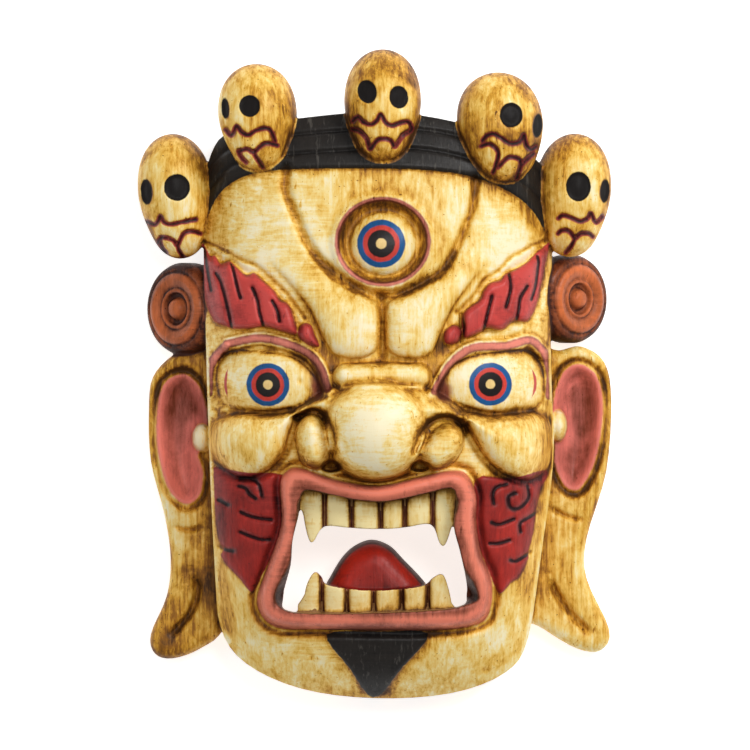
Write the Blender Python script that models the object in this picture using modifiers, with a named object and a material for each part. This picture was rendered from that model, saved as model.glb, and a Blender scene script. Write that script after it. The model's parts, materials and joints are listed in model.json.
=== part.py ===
# Tibetan cham mask: a wrathful three-eyed deity, carved from one block of wood and hollowed behind.
# It lies face up on its flat back rim. +Y runs to the crown, +X to the onlooker's right, +Z out of the face.
# The rim is at z = 0, and the origin is under the middle of the whole mask.
import math

import bmesh
import bpy
import numpy as np
from mathutils import Euler, Matrix, Vector

# Driving dimensions, in metres
MASK_HEIGHT = 0.400
WALL = 0.012
GRID_STEP = 0.0014
VOXEL = 0.0016
TRIANGLES = 9400

# The layout is drawn on a picture of the front, with y down. This gives its scale.
MM = 0.001
TOP_PX, BOTTOM_PX = 48, 702
CENTRE_PX = (375, 375)
PX = MASK_HEIGHT / MM / (BOTTOM_PX - TOP_PX)

# Heights above the back rim and half sizes of the plain block, in millimetres
DOME_HEIGHT = 92
DOME_HALF_WIDTH = 109
DOME_HALF_LENGTH = 206
CHIN_TAPER = 9
HOLLOW_HEIGHT = 82
NOSE_TIP = 131
EAR_HEIGHT = 22
EAR_BACK = 7
TEETH_HEIGHTS = {"upper": (64, 86), "lower": (58, 84)}
TONGUE_HEIGHTS = (46, 50)

# Outlines and lines of the forehead, as places in the picture
FACE = [(202, 245), (204, 320), (207, 430), (213, 564), (219, 628), (244, 664), (300, 690), (373, 700),
        (450, 695), (505, 674), (528, 640), (542, 551), (554, 460), (552, 380), (551, 300), (554, 205),
        (548, 172), (512, 142), (455, 122), (383, 112), (300, 118), (232, 130), (210, 152), (202, 195)]
BAND_EDGE = [(196, 262), (207, 215), (225, 187), (262, 172), (340, 169), (430, 171), (484, 181), (525, 203),
             (545, 232), (556, 262)]
BAND_TOP = [(556, 60), (196, 60)]
BAND_GROOVES = [[(200, 215), (212, 184), (245, 160), (345, 151), (415, 149), (475, 161), (530, 188), (556, 225)],
                [(200, 185), (215, 158), (250, 141), (345, 131), (420, 130), (478, 142), (530, 163), (556, 195)]]
THIRD_EYE_GROOVE = [(286, 168), (285, 190), (294, 215), (310, 248), (335, 273), (381, 297), (428, 280),
                    (450, 258), (470, 212), (475, 180)]
THIRD_SOCKET = (336, 199, 428, 285)
THIRD_BALL = (349, 212, 416, 276)
FROWN_GROOVE = [(381, 287), (382, 325), (382, 366)]
FROWN_LOBES = [[(296, 236), (322, 270), (345, 288), (376, 303), (380, 332), (373, 353), (351, 359), (333, 353),
                (321, 335), (308, 308), (288, 282), (270, 258)],
               [(466, 236), (440, 270), (415, 288), (387, 303), (384, 332), (390, 353), (414, 359), (431, 352),
                (440, 333), (452, 308), (470, 282), (486, 258)]]
LOBE_START_PX, LOBE_FULL_PX = 240, 325

# Outlines and lines of the brows and eyes
BROWS = [[(200, 243), (209, 255), (214, 255), (220, 263), (229, 261), (237, 268), (246, 275), (254, 273),
          (262, 280), (270, 287), (275, 292), (280, 300), (288, 304), (293, 315), (296, 334), (280, 331),
          (265, 327), (245, 329), (233, 329), (224, 326), (213, 321), (205, 305), (200, 285)],
         [(550, 242), (541, 248), (536, 252), (525, 263), (511, 271), (503, 275), (499, 280), (489, 283),
          (482, 291), (478, 300), (463, 312), (461, 326), (464, 338), (478, 333), (487, 328), (496, 330),
          (503, 329), (513, 321), (527, 321), (536, 306), (541, 286), (546, 262)]]
BROW_CURLS = [[(298, 337), (299, 327), (305, 323), (311, 326), (315, 336), (319, 346), (310, 346)],
              [(443, 341), (444, 331), (452, 325), (459, 328), (461, 335), (457, 342), (448, 345)]]
BROW_GROOVES = [[(203, 247), (205, 262), (208, 280), (210, 290)], [(215, 273), (220, 282), (225, 300), (231, 327)],
                [(231, 263), (234, 275), (237, 288), (240, 298)], [(252, 288), (257, 300), (259, 312), (263, 326)],
                [(272, 301), (277, 311), (279, 321)], [(537, 256), (538, 264), (535, 286), (531, 299)],
                [(508, 274), (510, 286), (508, 297), (505, 307)], [(527, 286), (520, 297), (518, 308), (516, 319)],
                [(491, 296), (488, 308), (485, 320), (483, 330)], [(460, 314), (463, 328), (460, 340)]]
SOCKETS = [[(206, 372), (226, 341), (265, 332), (308, 346), (330, 392), (300, 414), (262, 418), (212, 412)],
           [(430, 396), (452, 357), (488, 340), (532, 333), (550, 368), (546, 414), (495, 420), (450, 408)]]
EYES = [[(215, 388), (222, 353), (262, 351), (300, 361), (322, 392), (300, 405), (265, 411), (228, 408)],
        [(436, 394), (455, 362), (500, 351), (533, 352), (545, 380), (535, 411), (485, 411), (455, 402)]]
EYEBALLS = [(209, 343, 326, 422), (432, 343, 549, 422)]
UPPER_LIDS = [[(226, 344), (262, 338), (300, 349), (318, 364), (327, 388)],
              [(434, 391), (450, 364), (472, 348), (505, 346), (530, 340), (545, 353)]]
OUTER_LIDS = [[(224, 347), (209, 365), (207, 392)], [(545, 353), (551, 372), (550, 395)]]
LOWER_LIDS = [[(222, 413), (262, 417), (300, 410), (326, 396)], [(440, 400), (462, 414), (495, 419), (535, 416)]]

# Outlines and lines of the nose and cheeks
BRIDGE = [(345, 376), (382, 375), (418, 376)]
NOSE_BALL = (325, 381, 425, 479)
NOSE_ROUND_PX, NOSE_FLARE_PX = 440, 400
NOSE_ROOT = [(334, 387), (378, 383), (423, 387), (448, 399), (466, 414), (462, 426), (440, 426), (424, 442),
             (414, 462), (345, 464), (331, 442), (322, 418), (304, 414), (288, 416), (310, 399)]
WINGS = [[(295, 436), (300, 420), (312, 414), (324, 422), (331, 441), (329, 459), (317, 469), (302, 462)],
         [(415, 454), (421, 439), (434, 426), (449, 421), (461, 430), (462, 446), (453, 461), (434, 470)]]
WING_CREASES = [[(298, 418), (311, 410), (325, 417), (333, 434), (333, 452)],
                [(414, 450), (421, 431), (436, 419), (453, 419), (463, 432)]]
NOSTRILS = [(320, 460, 342, 472), (408, 460, 430, 471)]
CHEEKS = [[(206, 436), (214, 421), (240, 414), (270, 416), (292, 414), (288, 434), (281, 456), (263, 472),
           (240, 476), (218, 464), (207, 450)],
          [(462, 413), (490, 417), (530, 413), (552, 424), (557, 446), (548, 468), (528, 480), (505, 474),
           (486, 458), (471, 434)]]

# Outlines and lines of the mouth
LIPS = [(280, 484), (286, 471), (300, 467.5), (335, 479), (378, 485.5), (425, 475), (450, 470), (466, 474),
        (475, 495), (475, 522), (480, 552), (491, 580), (489, 612), (475, 625), (430, 630), (322, 629),
        (274, 627), (256, 603), (266, 569), (281, 525)]
LIP_CREST = [(287, 486), (300, 475), (335, 485.5), (378, 492), (425, 482), (452, 478), (466, 492), (465, 520),
             (471, 556), (481, 585), (478, 609), (455, 618), (378, 619), (292, 618), (268, 605), (273, 575),
             (287, 535)]
LIP_INNER = [(302, 496), (340, 502), (379, 507), (420, 500), (456, 497), (453, 526), (461, 562), (476, 588),
             (468, 604), (381, 607), (302, 604), (281, 608), (274, 593), (289, 560), (296, 518)]
MOUTH = [(303, 490), (330, 493.5), (352, 498), (379, 500.5), (402, 497.5), (426, 492), (454, 489), (453, 525),
         (459, 550), (465, 577), (466, 594), (457, 607), (381, 612), (292, 612), (282.5, 597), (290, 565),
         (292, 540), (298, 515)]
TEETH = {"upper": [(301, 484), (303, 515), (308, 538), (313, 541), (324, 526), (351, 527.5), (380, 528.5),
                   (404, 527), (430, 524), (439, 543), (445, 543), (452, 520), (457, 484), (381, 480)],
         "lower": [(303, 622), (304, 594), (308, 580), (314.5, 572), (321, 577), (328, 585), (372, 590),
                   (420, 586), (432, 578), (441, 574), (446, 582), (451, 603), (452, 622)]}
TOOTH_GAPS_PX = {"upper": [324, 351, 380, 404, 432], "lower": [321, 346, 373, 401, 427]}
TONGUE = [(324, 590), (330, 576), (341, 558), (354, 546), (371, 540), (389, 546), (403, 560), (422, 580),
          (428, 592), (424, 616), (328, 616)]

# Outlines and lines of the beard
FLAMES = [[(209, 468), (211, 500), (214, 522), (218, 542), (222, 549), (220, 555), (224, 564), (238, 578),
           (246, 588), (253, 592), (262, 574), (277, 545), (282, 518), (280, 490), (282, 474), (245, 472)],
          [(548, 470), (541, 490), (537, 506), (534, 528), (529, 550), (527, 562), (519, 577), (510, 583),
           (499, 594), (490, 576), (478, 546), (475, 520), (475, 478), (510, 478)]]
FLAME_GROOVES = [[(240, 478), (250, 478), (258, 484), (261, 495)], [(238, 486), (245, 488), (249, 494), (255, 498)],
                 [(240, 512), (250, 516), (260, 518), (271, 519)], [(240, 532), (250, 536), (260, 539), (269, 539)],
                 [(218, 547), (225, 550), (232, 551)], [(217, 500), (227, 505)],
                 [(493, 503), (492, 494), (496, 487), (506, 484)],
                 [(515, 493), (508, 497), (510, 507), (519, 508), (528, 498), (527, 486)],
                 [(491, 522), (499, 524), (513, 519)], [(520, 532), (520, 523), (528, 518), (536, 513)],
                 [(489, 543), (498, 543), (509, 540)], [(510, 560), (516, 561), (530, 553)]]
GOATEE = [(325.7, 634), (376, 631), (427.7, 633), (402, 668), (373, 700), (348, 668)]

# Outlines and lines of the ears
EARS = {"left": [(170, 355), (150, 377), (146, 410), (148, 462), (162, 517), (168, 560), (164, 598), (148, 636),
                 (152, 656), (170, 661), (198, 651), (222, 628), (226, 560), (222, 420), (218, 350), (192, 348)],
        "right": [(560, 350), (583, 346), (606, 362), (613, 400), (608, 472), (588, 540), (588, 580), (611, 632),
                  (602, 653), (578, 651), (544, 631), (522, 612), (528, 540), (536, 420), (536, 350)]}
SHELLS = [[(182, 374), (163, 382), (155, 406), (154, 440), (160, 474), (170, 496), (185, 505), (198, 495),
           (201, 472), (196, 455), (203, 438), (205, 415), (198, 388)],
          [(582, 364), (598, 376), (604, 402), (602, 436), (594, 468), (580, 490), (566, 487), (556, 466),
           (556, 446), (552, 425), (556, 392), (566, 370)]]
EAR_KNOBS = [(190, 424, 210, 452), (550, 410, 568, 442)]
LOBE_GROOVES = [[(189, 575), (195, 588), (193, 603), (186, 617), (177, 628), (165, 640)],
                [(551, 577), (555, 590), (563, 604), (573, 617), (583, 627), (594, 638)]]
EAR_CREASES = [[(169, 525), (176, 529), (183, 531), (193, 530), (202, 526)],
               [(550, 505), (557, 512), (567, 517), (577, 520), (587, 519)]]

# Ear discs: place in the picture, height, radius and outward turn. The profile is radius and height.
DISCS = {"left": ((177, 308), 24, 28.5, -44), "right": ((577, 298), 24, 27.3, 44)}
DISC_RADIUS = 28.5
DISC_PROFILE = [(0, 6.2), (4.2, 5.6), (5.8, 3.8), (6.8, 0.8), (9.2, 0.8), (10.4, 3.8), (11.8, 4.4), (12.9, 2.6),
                (14.6, 4.2), (18.5, 5.6), (21.6, 4.4), (22.8, 1.8), (24.2, 3.2), (26.6, 2.0),
                (DISC_RADIUS, -2.0), (DISC_RADIUS, -12.0), (26.5, -14.0), (0, -14.0)]

# Skulls: place in the picture, height, half width and half length, then pitch, outward turn and lean
SKULLS = [((174.5, 195), 40, 23.0, 38.5, (0, -20, 6)), ((257, 117), 70, 23.5, 33.0, (-16, -38, 13)),
          ((382, 106), 78, 23.5, 35.0, (-14, 0, 0)), ((500, 127), 70, 27.0, 34.0, (-16, 36, -2)),
          ((573, 194), 40, 23.0, 38.0, (0, 30, -4))]
SKULL_DEPTH = 25.0
SKULL_LENGTH = 34.8
SKULL_EYES = [(-9.6, 6.4, 5.6, 6.9), (9.8, 3.4, 5.6, 6.9)]
SKULL_LINES = [[(-17, -12), (-14, -8.5), (-11, -11), (-7, -13), (-3, -10.5), (0, -7), (3, -11.5), (7, -13.5),
                (11, -11.5), (15, -10.5), (18, -14)],
               [(-18, -17), (-14, -16), (-9.5, -21), (-7, -27), (-3.5, -22.5), (0, -21.5), (5, -22.5),
                (8, -26.5), (10.5, -23), (14, -19)],
               [(-1, -22), (0, -34)]]

# A height well under any surface, for what a form leaves out
NOTHING = -60.0


def at(point):
    """Millimetres from the middle of the mask, y up, for a place in the picture."""
    return ((point[0] - CENTRE_PX[0]) * PX, (CENTRE_PX[1] - point[1]) * PX)


def smooth(points, closed=True, steps=4):
    """A smooth line in millimetres through places in the picture."""
    knots = [np.array(at(point)) for point in points]
    ring = knots[-1:] + knots + knots[:2] if closed else knots[:1] + knots + knots[-1:]
    line = []
    for a, b, c, d in zip(ring, ring[1:], ring[2:], ring[3:]):
        for t in np.arange(steps) / steps:
            bend = (2 * a - 5 * b + 4 * c - d) * t + (3 * b - a - 3 * c + d) * t * t
            line.append(b + ((c - a) + bend) * t / 2)
    return np.array(line if closed else line + knots[-1:])


def ramp(value, low, high):
    """0 below low, 1 above high, and a smooth step between them."""
    t = np.clip((value - low) / (high - low), 0, 1)
    return t * t * (3 - 2 * t)


def reach(x, y, line, closed, limit=14.0):
    """Signed distance to a line, positive inside a closed one. It stops at the limit."""
    low, high = line.min(axis=0) - limit, line.max(axis=0) + limit
    near = (x > low[0]) & (x < high[0]) & (y > low[1]) & (y < high[1])
    near_x, near_y = x[near], y[near]
    best = np.full(near_x.shape, limit ** 2)
    within = np.zeros(near_x.shape, bool)
    ends = np.roll(line, -1, axis=0) if closed else line[1:]
    for (x0, y0), (x1, y1) in zip(line, ends):
        dx, dy = x1 - x0, y1 - y0
        t = np.clip(((near_x - x0) * dx + (near_y - y0) * dy) / (dx * dx + dy * dy), 0, 1)
        best = np.minimum(best, (near_x - x0 - t * dx) ** 2 + (near_y - y0 - t * dy) ** 2)
        if closed and y0 != y1:
            within ^= ((y0 > near_y) != (y1 > near_y)) & (near_x < x0 + (near_y - y0) * dx / dy)
    distance = np.full(x.shape, -limit)
    distance[near] = np.where(within, 1, -1) * np.sqrt(best)
    return distance


def inside(x, y, outline, limit=14.0):
    """Distance to a smooth closed outline, positive inside it."""
    return reach(x, y, smooth(outline), True, limit)


def groove(x, y, path, width, depth):
    """A rounded V cut along an open path."""
    distance = reach(x, y, smooth(path, closed=False), False, 3 * width)
    return -depth * np.exp(-(distance / width) ** 2)


def tapered(x, y, path, width, depth, run):
    """A rounded V cut that starts and ends at nothing, over the run at each end."""
    (x0, y0), (x1, y1) = at(path[0]), at(path[-1])
    from_end = np.minimum(np.hypot(x - x0, y - y0), np.hypot(x - x1, y - y1))
    return groove(x, y, path, width, depth) * ramp(from_end, 0.0, run)


def ridge(x, y, path, width, height):
    """A half-round roll along an open path."""
    distance = reach(x, y, smooth(path, closed=False), False, 2 * width)
    return height * np.sqrt(np.clip(1 - (distance / width) ** 2, 0, 1))


def radius(x, y, box):
    """0 at the middle of the ellipse that fills a box in the picture, 1 on its edge."""
    (x0, y0), (x1, y1) = at(box[:2]), at(box[2:])
    return np.hypot((2 * x - x0 - x1) / (x1 - x0), (2 * y - y0 - y1) / (y1 - y0))


def ball(x, y, box, height):
    """Half an ellipsoid that fills a box in the picture."""
    return height * np.sqrt(np.clip(1 - radius(x, y, box) ** 2, 0, 1))


def pillow(distance, edge, height):
    """A raised area, rounded over the width of its edge."""
    t = np.clip(distance / edge, 0, 1)
    return height * np.sqrt(1 - (1 - t) ** 2)


def smooth_max(a, b, blend):
    """The higher of two heights, with a fillet between them."""
    share = np.clip(0.5 + 0.5 * (a - b) / blend, 0, 1)
    return b + (a - b) * share + blend * share * (1 - share)


def dome(x, y):
    """The plain front of the block before any carving."""
    u = np.abs(x / (DOME_HALF_WIDTH - CHIN_TAPER * ramp(-y, 60, 190)))
    v = np.abs(y / DOME_HALF_LENGTH)
    return DOME_HEIGHT * np.clip(1 - v ** 3.2, 0, 1) ** 0.4 * np.clip(1 - u ** 2.6, 0, 1) ** 0.32


def forehead(x, y):
    """The head band, the groove round the third eye, the frown and the bridge of the nose."""
    band = np.vstack([smooth(BAND_EDGE, closed=False), [at(corner) for corner in BAND_TOP]])
    z = pillow(reach(x, y, band, True), 3.0, 3.0)
    for path in BAND_GROOVES:
        z += groove(x, y, path, 1.1, 2.2)
    z += groove(x, y, THIRD_EYE_GROOVE, 2.8, 4.2)
    z += tapered(x, y, FROWN_GROOVE, 2.6, 4.4, 9.0)
    swell = ramp(-y, -at((0, LOBE_START_PX))[1], -at((0, LOBE_FULL_PX))[1])
    for lobe in FROWN_LOBES:
        z += pillow(inside(x, y, lobe), 14.0, 9.0) * swell
    return z + ridge(x, y, BRIDGE, 7.8, 12.0)


def brows(x, y):
    """Two raised brows with wavy upper edges, in a shallow moat and cut by curved grooves."""
    z = np.zeros_like(x)
    for outline in BROWS:
        edge = inside(x, y, outline)
        moat = np.exp(-(edge / 3.0) ** 2) * (edge < 0)
        z += pillow(edge, 4.5, 7.5) - 2.0 * moat
    for outline in BROW_CURLS:
        z += pillow(inside(x, y, outline), 4.0, 7.0)
    for path in BROW_GROOVES:
        z += groove(x, y, path, 1.2, 3.2)
    return z


def eyes(x, y, z):
    """Eyeballs in their sockets with rolled lids, and the third eye in its cup."""
    plain = z.copy()
    for socket, eye, eyeball, *lids in zip(SOCKETS, EYES, EYEBALLS, UPPER_LIDS, OUTER_LIDS, LOWER_LIDS):
        opening = ramp(inside(x, y, eye), -0.6, 1.0)
        z = z - 4.5 * ramp(inside(x, y, socket), -4, 5)
        for lid, width, height in zip(lids, (4.6, 3.6, 3.0), (6.0, 3.5, 2.2)):
            z = z + ridge(x, y, lid, width, height)
        z = z * (1 - opening) + (plain + ball(x, y, eyeball, 12.5) - 10.5) * opening
    rim = radius(x, y, THIRD_SOCKET)
    opening = ramp(1 - radius(x, y, THIRD_BALL), -0.02, 0.03)
    cup = 2.4 * np.exp(-((rim - 1.04) / 0.09) ** 2) - 6.0 * ramp(1 - rim, 0.0, 0.24)
    return z + cup * (1 - opening) + (ball(x, y, THIRD_BALL, 9.0) - 6.0) * opening


def nose(x, y, base):
    """The ball of the nose on its broad root, two wings under their creases, and the nostrils."""
    rim = radius(x, y, NOSE_BALL)
    tip = ball(x, y, NOSE_BALL, 34.0) + NOSE_TIP - 34.0 + NOTHING * ramp(rim, 0.995, 1.2)
    root = base + pillow(inside(x, y, NOSE_ROOT, 28.0), 24.0, 21.0)
    z = smooth_max(tip, root, 15.0 + 13.0 * ramp(y, at((0, NOSE_ROUND_PX))[1], at((0, NOSE_FLARE_PX))[1]))
    for crease, wing in zip(WING_CREASES, WINGS):
        edge = inside(x, y, wing)
        z += groove(x, y, crease, 2.2, 8.0) * (1 - ramp(edge, 0.0, 1.5))
        z = smooth_max(z, DOME_HEIGHT - 4 + pillow(edge, 10.0, 21.0) + NOTHING * (edge < 0), 2.0)
    for box in NOSTRILS:
        z -= 10.0 * ramp(1.15 - radius(x, y, box), 0, 0.5)
    return z


def cheeks(x, y, base):
    """Two round cheeks over the corners of the mouth, with a crease round each."""
    z = base
    for outline in CHEEKS:
        edge = inside(x, y, outline, 22.0)
        z = smooth_max(z, base + pillow(edge, 19.0, 17.0) - 5 * ramp(-edge, 0.0, 4.0), 2.5)
        z -= 3.2 * np.exp(-((edge + 1.6) / 2.2) ** 2)
    return z


def lips(x, y, base):
    """Rolled lips round the open mouth, with a steep fall to the opening."""
    edge = inside(x, y, LIPS)
    crest = reach(x, y, smooth(LIP_CREST), True)
    roll = 9.0 * np.sqrt(np.clip(1 - (crest / np.where(crest > 0, 13.0, 6.0)) ** 2, 0, 1))
    crease = 5.0 * np.exp(-((edge + 1.5) / 3.0) ** 2)
    fall = 16.0 * ramp(inside(x, y, LIP_INNER), -1.0, 5.0)
    return base - crease + roll * ramp(edge, -1.0, 1.0) - fall


def beard(x, y):
    """Flame-shaped beard at the corners of the mouth, and the pointed tuft on the chin."""
    z = pillow(inside(x, y, GOATEE), 1.5, 1.4)
    for outline in FLAMES:
        z += pillow(inside(x, y, outline), 3.0, 2.2)
    for path in FLAME_GROOVES:
        z += groove(x, y, path, 1.3, 2.6)
    return z


def face_front(x, y):
    """Height of the carved face above the back rim."""
    z = dome(x, y) + forehead(x, y) + brows(x, y) + beard(x, y)
    z = cheeks(x, y, eyes(x, y, z))
    return nose(x, y, lips(x, y, z))


def hollow_front(x, y):
    """Height of the hollow behind the face, inside a wall of even thickness."""
    depth = inside(x, y, FACE, 70.0) - WALL / MM
    crown = np.minimum(pillow(depth, 42.0, HOLLOW_HEIGHT), dome(x, y) - 15)
    return np.where(depth > 0, crown - 1, -15)


def ear_front(x, y):
    """Height of the ears: rolled rim, hollow shell, knob, and a grooved lobe."""
    edge = np.maximum(inside(x, y, EARS["left"]), inside(x, y, EARS["right"]))
    z = EAR_HEIGHT + pillow(edge, 8.0, 7.0)
    for outline in SHELLS:
        shell = inside(x, y, outline)
        z -= 4.5 * np.exp(-((shell + 2.0) / 2.4) ** 2) + 10.0 * np.sin(np.pi / 2 * np.clip(shell / 13.0, 0, 1))
    for path in LOBE_GROOVES:
        z += tapered(x, y, path, 2.2, 5.5, 9.0)
    for path in EAR_CREASES:
        z += tapered(x, y, path, 1.5, 3.4, 7.0)
    for box in EAR_KNOBS:
        knob = EAR_HEIGHT + 4 + ball(x, y, box, 11.0) + NOTHING * (radius(x, y, box) > 1)
        z = smooth_max(z, knob, 2.0)
    return z


def teeth_front(row):
    """The height function of one row of teeth, each round from side to side, with a cut between two."""
    cuts = [at((gap, 0))[0] for gap in TOOTH_GAPS_PX[row]]
    pitch = (cuts[-1] - cuts[0]) / (len(cuts) - 1)
    middles = [cuts[0] - pitch / 2] + [cut + pitch / 2 for cut in cuts]
    crown = TEETH_HEIGHTS[row][1]

    def front(x, y):
        z = crown + dome(x, y) - DOME_HEIGHT
        for cut in cuts:
            z = z - 5.0 * np.exp(-((x - cut) / 1.3) ** 2)
        for middle in middles:
            z = z + 2.0 * np.clip(1 - (2 * (x - middle) / pitch) ** 2, 0, 1)
        return z
    return front


def tongue_front(x, y):
    """Height of the tongue, rounded at its sides and tip."""
    return TONGUE_HEIGHTS[1] + pillow(inside(x, y, TONGUE, 16.0), 15.0, 17.0)


def level(height):
    """The height function of a flat underside."""
    return lambda x, y: np.full(x.shape, float(height))


def new_object(name, data, collection):
    """An object in the collection that holds the mesh or curve."""
    thing = bpy.data.objects.new(name, data)
    collection.objects.link(thing)
    return thing


def from_bmesh(shape, name, collection):
    """A mesh object with its faces pointing out, in place of the bmesh."""
    bmesh.ops.recalc_face_normals(shape, faces=shape.faces)
    mesh = bpy.data.meshes.new(name)
    shape.to_mesh(mesh)
    shape.free()
    return new_object(name, mesh, collection)


def evaluated(source, name, collection):
    """A plain mesh object in place of the source, with its modifiers and placing worked in."""
    bpy.context.view_layer.update()
    graph = bpy.context.evaluated_depsgraph_get()
    mesh = bpy.data.meshes.new_from_object(source.evaluated_get(graph), depsgraph=graph)
    mesh.transform(source.matrix_world)
    bpy.data.objects.remove(source)
    return new_object(name, mesh, collection)


def combine(body, tool, operation, collection):
    """The body after a Boolean with the tool, which stays for its next use."""
    modifier = body.modifiers.new(operation.lower(), "BOOLEAN")
    modifier.operation = operation
    modifier.solver = "EXACT"
    modifier.object = tool
    return evaluated(body, body.name, collection)


def block(name, box, front, back, collection):
    """A closed block over a box in the picture, its two faces shaped by height functions."""
    (x0, y1), (x1, y0) = at(box[:2]), at(box[2:])
    shape = bmesh.new()
    bmesh.ops.create_grid(shape, x_segments=int((x1 - x0) * MM / GRID_STEP),
                          y_segments=int((y1 - y0) * MM / GRID_STEP), size=0.5)
    copies = bmesh.ops.extrude_face_region(shape, geom=shape.faces[:])["geom"]
    upper = {item for item in copies if isinstance(item, bmesh.types.BMVert)}
    places = np.array([vertex.co[:2] for vertex in shape.verts])
    x = (x0 + x1) / 2 + places[:, 0] * (x1 - x0)
    y = (y0 + y1) / 2 + places[:, 1] * (y1 - y0)
    raised = np.array([vertex in upper for vertex in shape.verts])
    z = np.where(raised, front(x, y), back(x, y))
    for vertex, place in zip(shape.verts, np.stack([x, y, z], axis=1) * MM):
        vertex.co = place
    return from_bmesh(shape, name, collection)


def prism(name, outline, low, high, collection):
    """A closed solid with a smooth flat outline, between two heights."""
    curve = bpy.data.curves.new(name, "CURVE")
    curve.dimensions = "2D"
    curve.fill_mode = "BOTH"
    curve.extrude = (high - low) / 2 * MM
    line = smooth(outline) * MM
    spline = curve.splines.new("POLY")
    spline.points.add(len(line) - 1)
    spline.use_cyclic_u = True
    for point, (x, y) in zip(spline.points, line):
        point.co = (x, y, 0, 1)
    drawn = new_object(name, curve, collection)
    drawn.location.z = (low + high) / 2 * MM
    flat = evaluated(drawn, name, collection)
    shape = bmesh.new()
    shape.from_mesh(flat.data)
    bpy.data.objects.remove(flat)
    bmesh.ops.remove_doubles(shape, verts=shape.verts, dist=0.00001)
    return from_bmesh(shape, name, collection)


def cut_out(name, outline, front, back, collection):
    """A block with two shaped faces, cut to a smooth outline."""
    margin = 6
    points = np.array(outline)
    box = (*(points.min(axis=0) - margin), *(points.max(axis=0) + margin))
    plate = block(name, box, front, back, collection)
    cutter = prism(name + "_outline", outline, NOTHING, 200, collection)
    plate = combine(plate, cutter, "INTERSECT", collection)
    bpy.data.objects.remove(cutter)
    return plate


def ear_disc(name, place, height, size, turn, collection):
    """A ringed roundel on a thick edge, turned outwards."""
    scale = size / DISC_RADIUS
    profile = [(r * scale * MM, 0, z * MM) for r, z in reversed(DISC_PROFILE)]
    mesh = bpy.data.meshes.new(name)
    mesh.from_pydata(profile, [(i, i + 1) for i in range(len(profile) - 1)], [])
    disc = new_object(name, mesh, collection)
    screw = disc.modifiers.new("turned", "SCREW")
    screw.steps = screw.render_steps = 64
    screw.use_merge_vertices = True
    screw.merge_threshold = 0.00001
    disc.location = Vector((*at(place), height)) * MM
    disc.rotation_euler = Euler((0, math.radians(turn), 0))
    return evaluated(disc, name, collection)


def skull_width(v):
    """How wide a skull is against a plain egg: fuller at the crown and the jaw, and narrower below."""
    low, high = np.clip(-v, 0, 0.985), np.clip(v, 0, 0.985)
    full = np.sqrt((1 - low ** 3.2) / (1 - low ** 2) * (1 - high ** 2.5) / (1 - high ** 2))
    return full * (1 - 0.18 * ramp(-v, -0.1, 0.75))


def skull_carving(x, y):
    """Depth of the eye pits and jaw lines on the front of a skull."""
    depth = np.zeros_like(x)
    for middle_x, middle_y, half_x, half_y in SKULL_EYES:
        rim = np.hypot((x - middle_x) / half_x, (y - middle_y) / half_y)
        depth += 2.4 * ramp(1.08 - rim, 0, 0.25)
    for line in SKULL_LINES:
        distance = reach(x, y, np.array(line, float), False, 4.0)
        depth += 2.4 * np.exp(-(distance / 1.3) ** 2)
    return depth


def skull(name, place, height, half_width, half_length, turns, collection):
    """A small skull: an egg narrowed to its jaw, carved on its front and turned outwards."""
    shape = bmesh.new()
    bmesh.ops.create_uvsphere(shape, u_segments=96, v_segments=72, radius=1)
    sphere = np.array([vertex.co[:] for vertex in shape.verts])
    width = skull_width(sphere[:, 1])
    egg = sphere * [half_width, half_length, SKULL_DEPTH]
    egg[:, 0] *= width
    egg[:, 2] *= width
    depth = skull_carving(egg[:, 0], egg[:, 1] * SKULL_LENGTH / half_length) * (sphere[:, 2] > 0)
    for vertex, point in zip(shape.verts, (egg - sphere * depth[:, None]) * MM):
        vertex.co = point
    head = from_bmesh(shape, name, collection)
    head.location = Vector((*at(place), height)) * MM
    head.rotation_euler = Euler([math.radians(turn) for turn in turns])
    return evaluated(head, name, collection)


def wood():
    """Ivory paint over wood, worn to ochre."""
    material = bpy.data.materials.new("painted_wood")
    material.use_nodes = True
    shader = material.node_tree.nodes["Principled BSDF"]
    shader.inputs["Base Color"].default_value = (0.62, 0.44, 0.17, 1)
    shader.inputs["Roughness"].default_value = 0.42
    shader.inputs["Metallic"].default_value = 0.0
    return material


def carve(part, tools):
    """Every form of the mask, hollowed behind and open at the mouth."""
    hollow = block("hollow", (150, 80, 605, 712), hollow_front, level(-20), tools)
    mouth = prism("mouth", MOUTH, NOTHING, 150, tools)
    forms = [cut_out("face", FACE, face_front, level(-4), part)]
    for side, outline in EARS.items():
        forms.append(cut_out(side + "_ear", outline, ear_front, level(EAR_BACK), part))
    for side, sizes in DISCS.items():
        forms.append(ear_disc(side + "_disc", *sizes, part))
    for number, sizes in enumerate(SKULLS, 1):
        forms.append(skull(f"skull_{number}", *sizes, part))
    forms = [combine(form, hollow, "DIFFERENCE", part) for form in forms]
    forms[0] = combine(forms[0], mouth, "DIFFERENCE", part)
    for row, outline in TEETH.items():
        forms.append(cut_out(row + "_teeth", outline, teeth_front(row), level(TEETH_HEIGHTS[row][0]), part))
    forms.append(cut_out("tongue", TONGUE, tongue_front, level(TONGUE_HEIGHTS[0]), part))
    for tool in (hollow, mouth):
        bpy.data.objects.remove(tool)
    return forms


def fuse(forms, part):
    """All forms worked into one closed skin of few faces."""
    block_of_wood = forms[0]
    with bpy.context.temp_override(active_object=block_of_wood, selected_editable_objects=forms):
        bpy.ops.object.join()
    skin = block_of_wood.modifiers.new("skin", "REMESH")
    skin.mode = "VOXEL"
    skin.voxel_size = VOXEL
    block_of_wood = evaluated(block_of_wood, "mask", part)
    count = sum(len(face.vertices) - 2 for face in block_of_wood.data.polygons)
    fewer = block_of_wood.modifiers.new("fewer", "DECIMATE")
    fewer.ratio = TRIANGLES / count
    return evaluated(block_of_wood, "mask", part)


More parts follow.
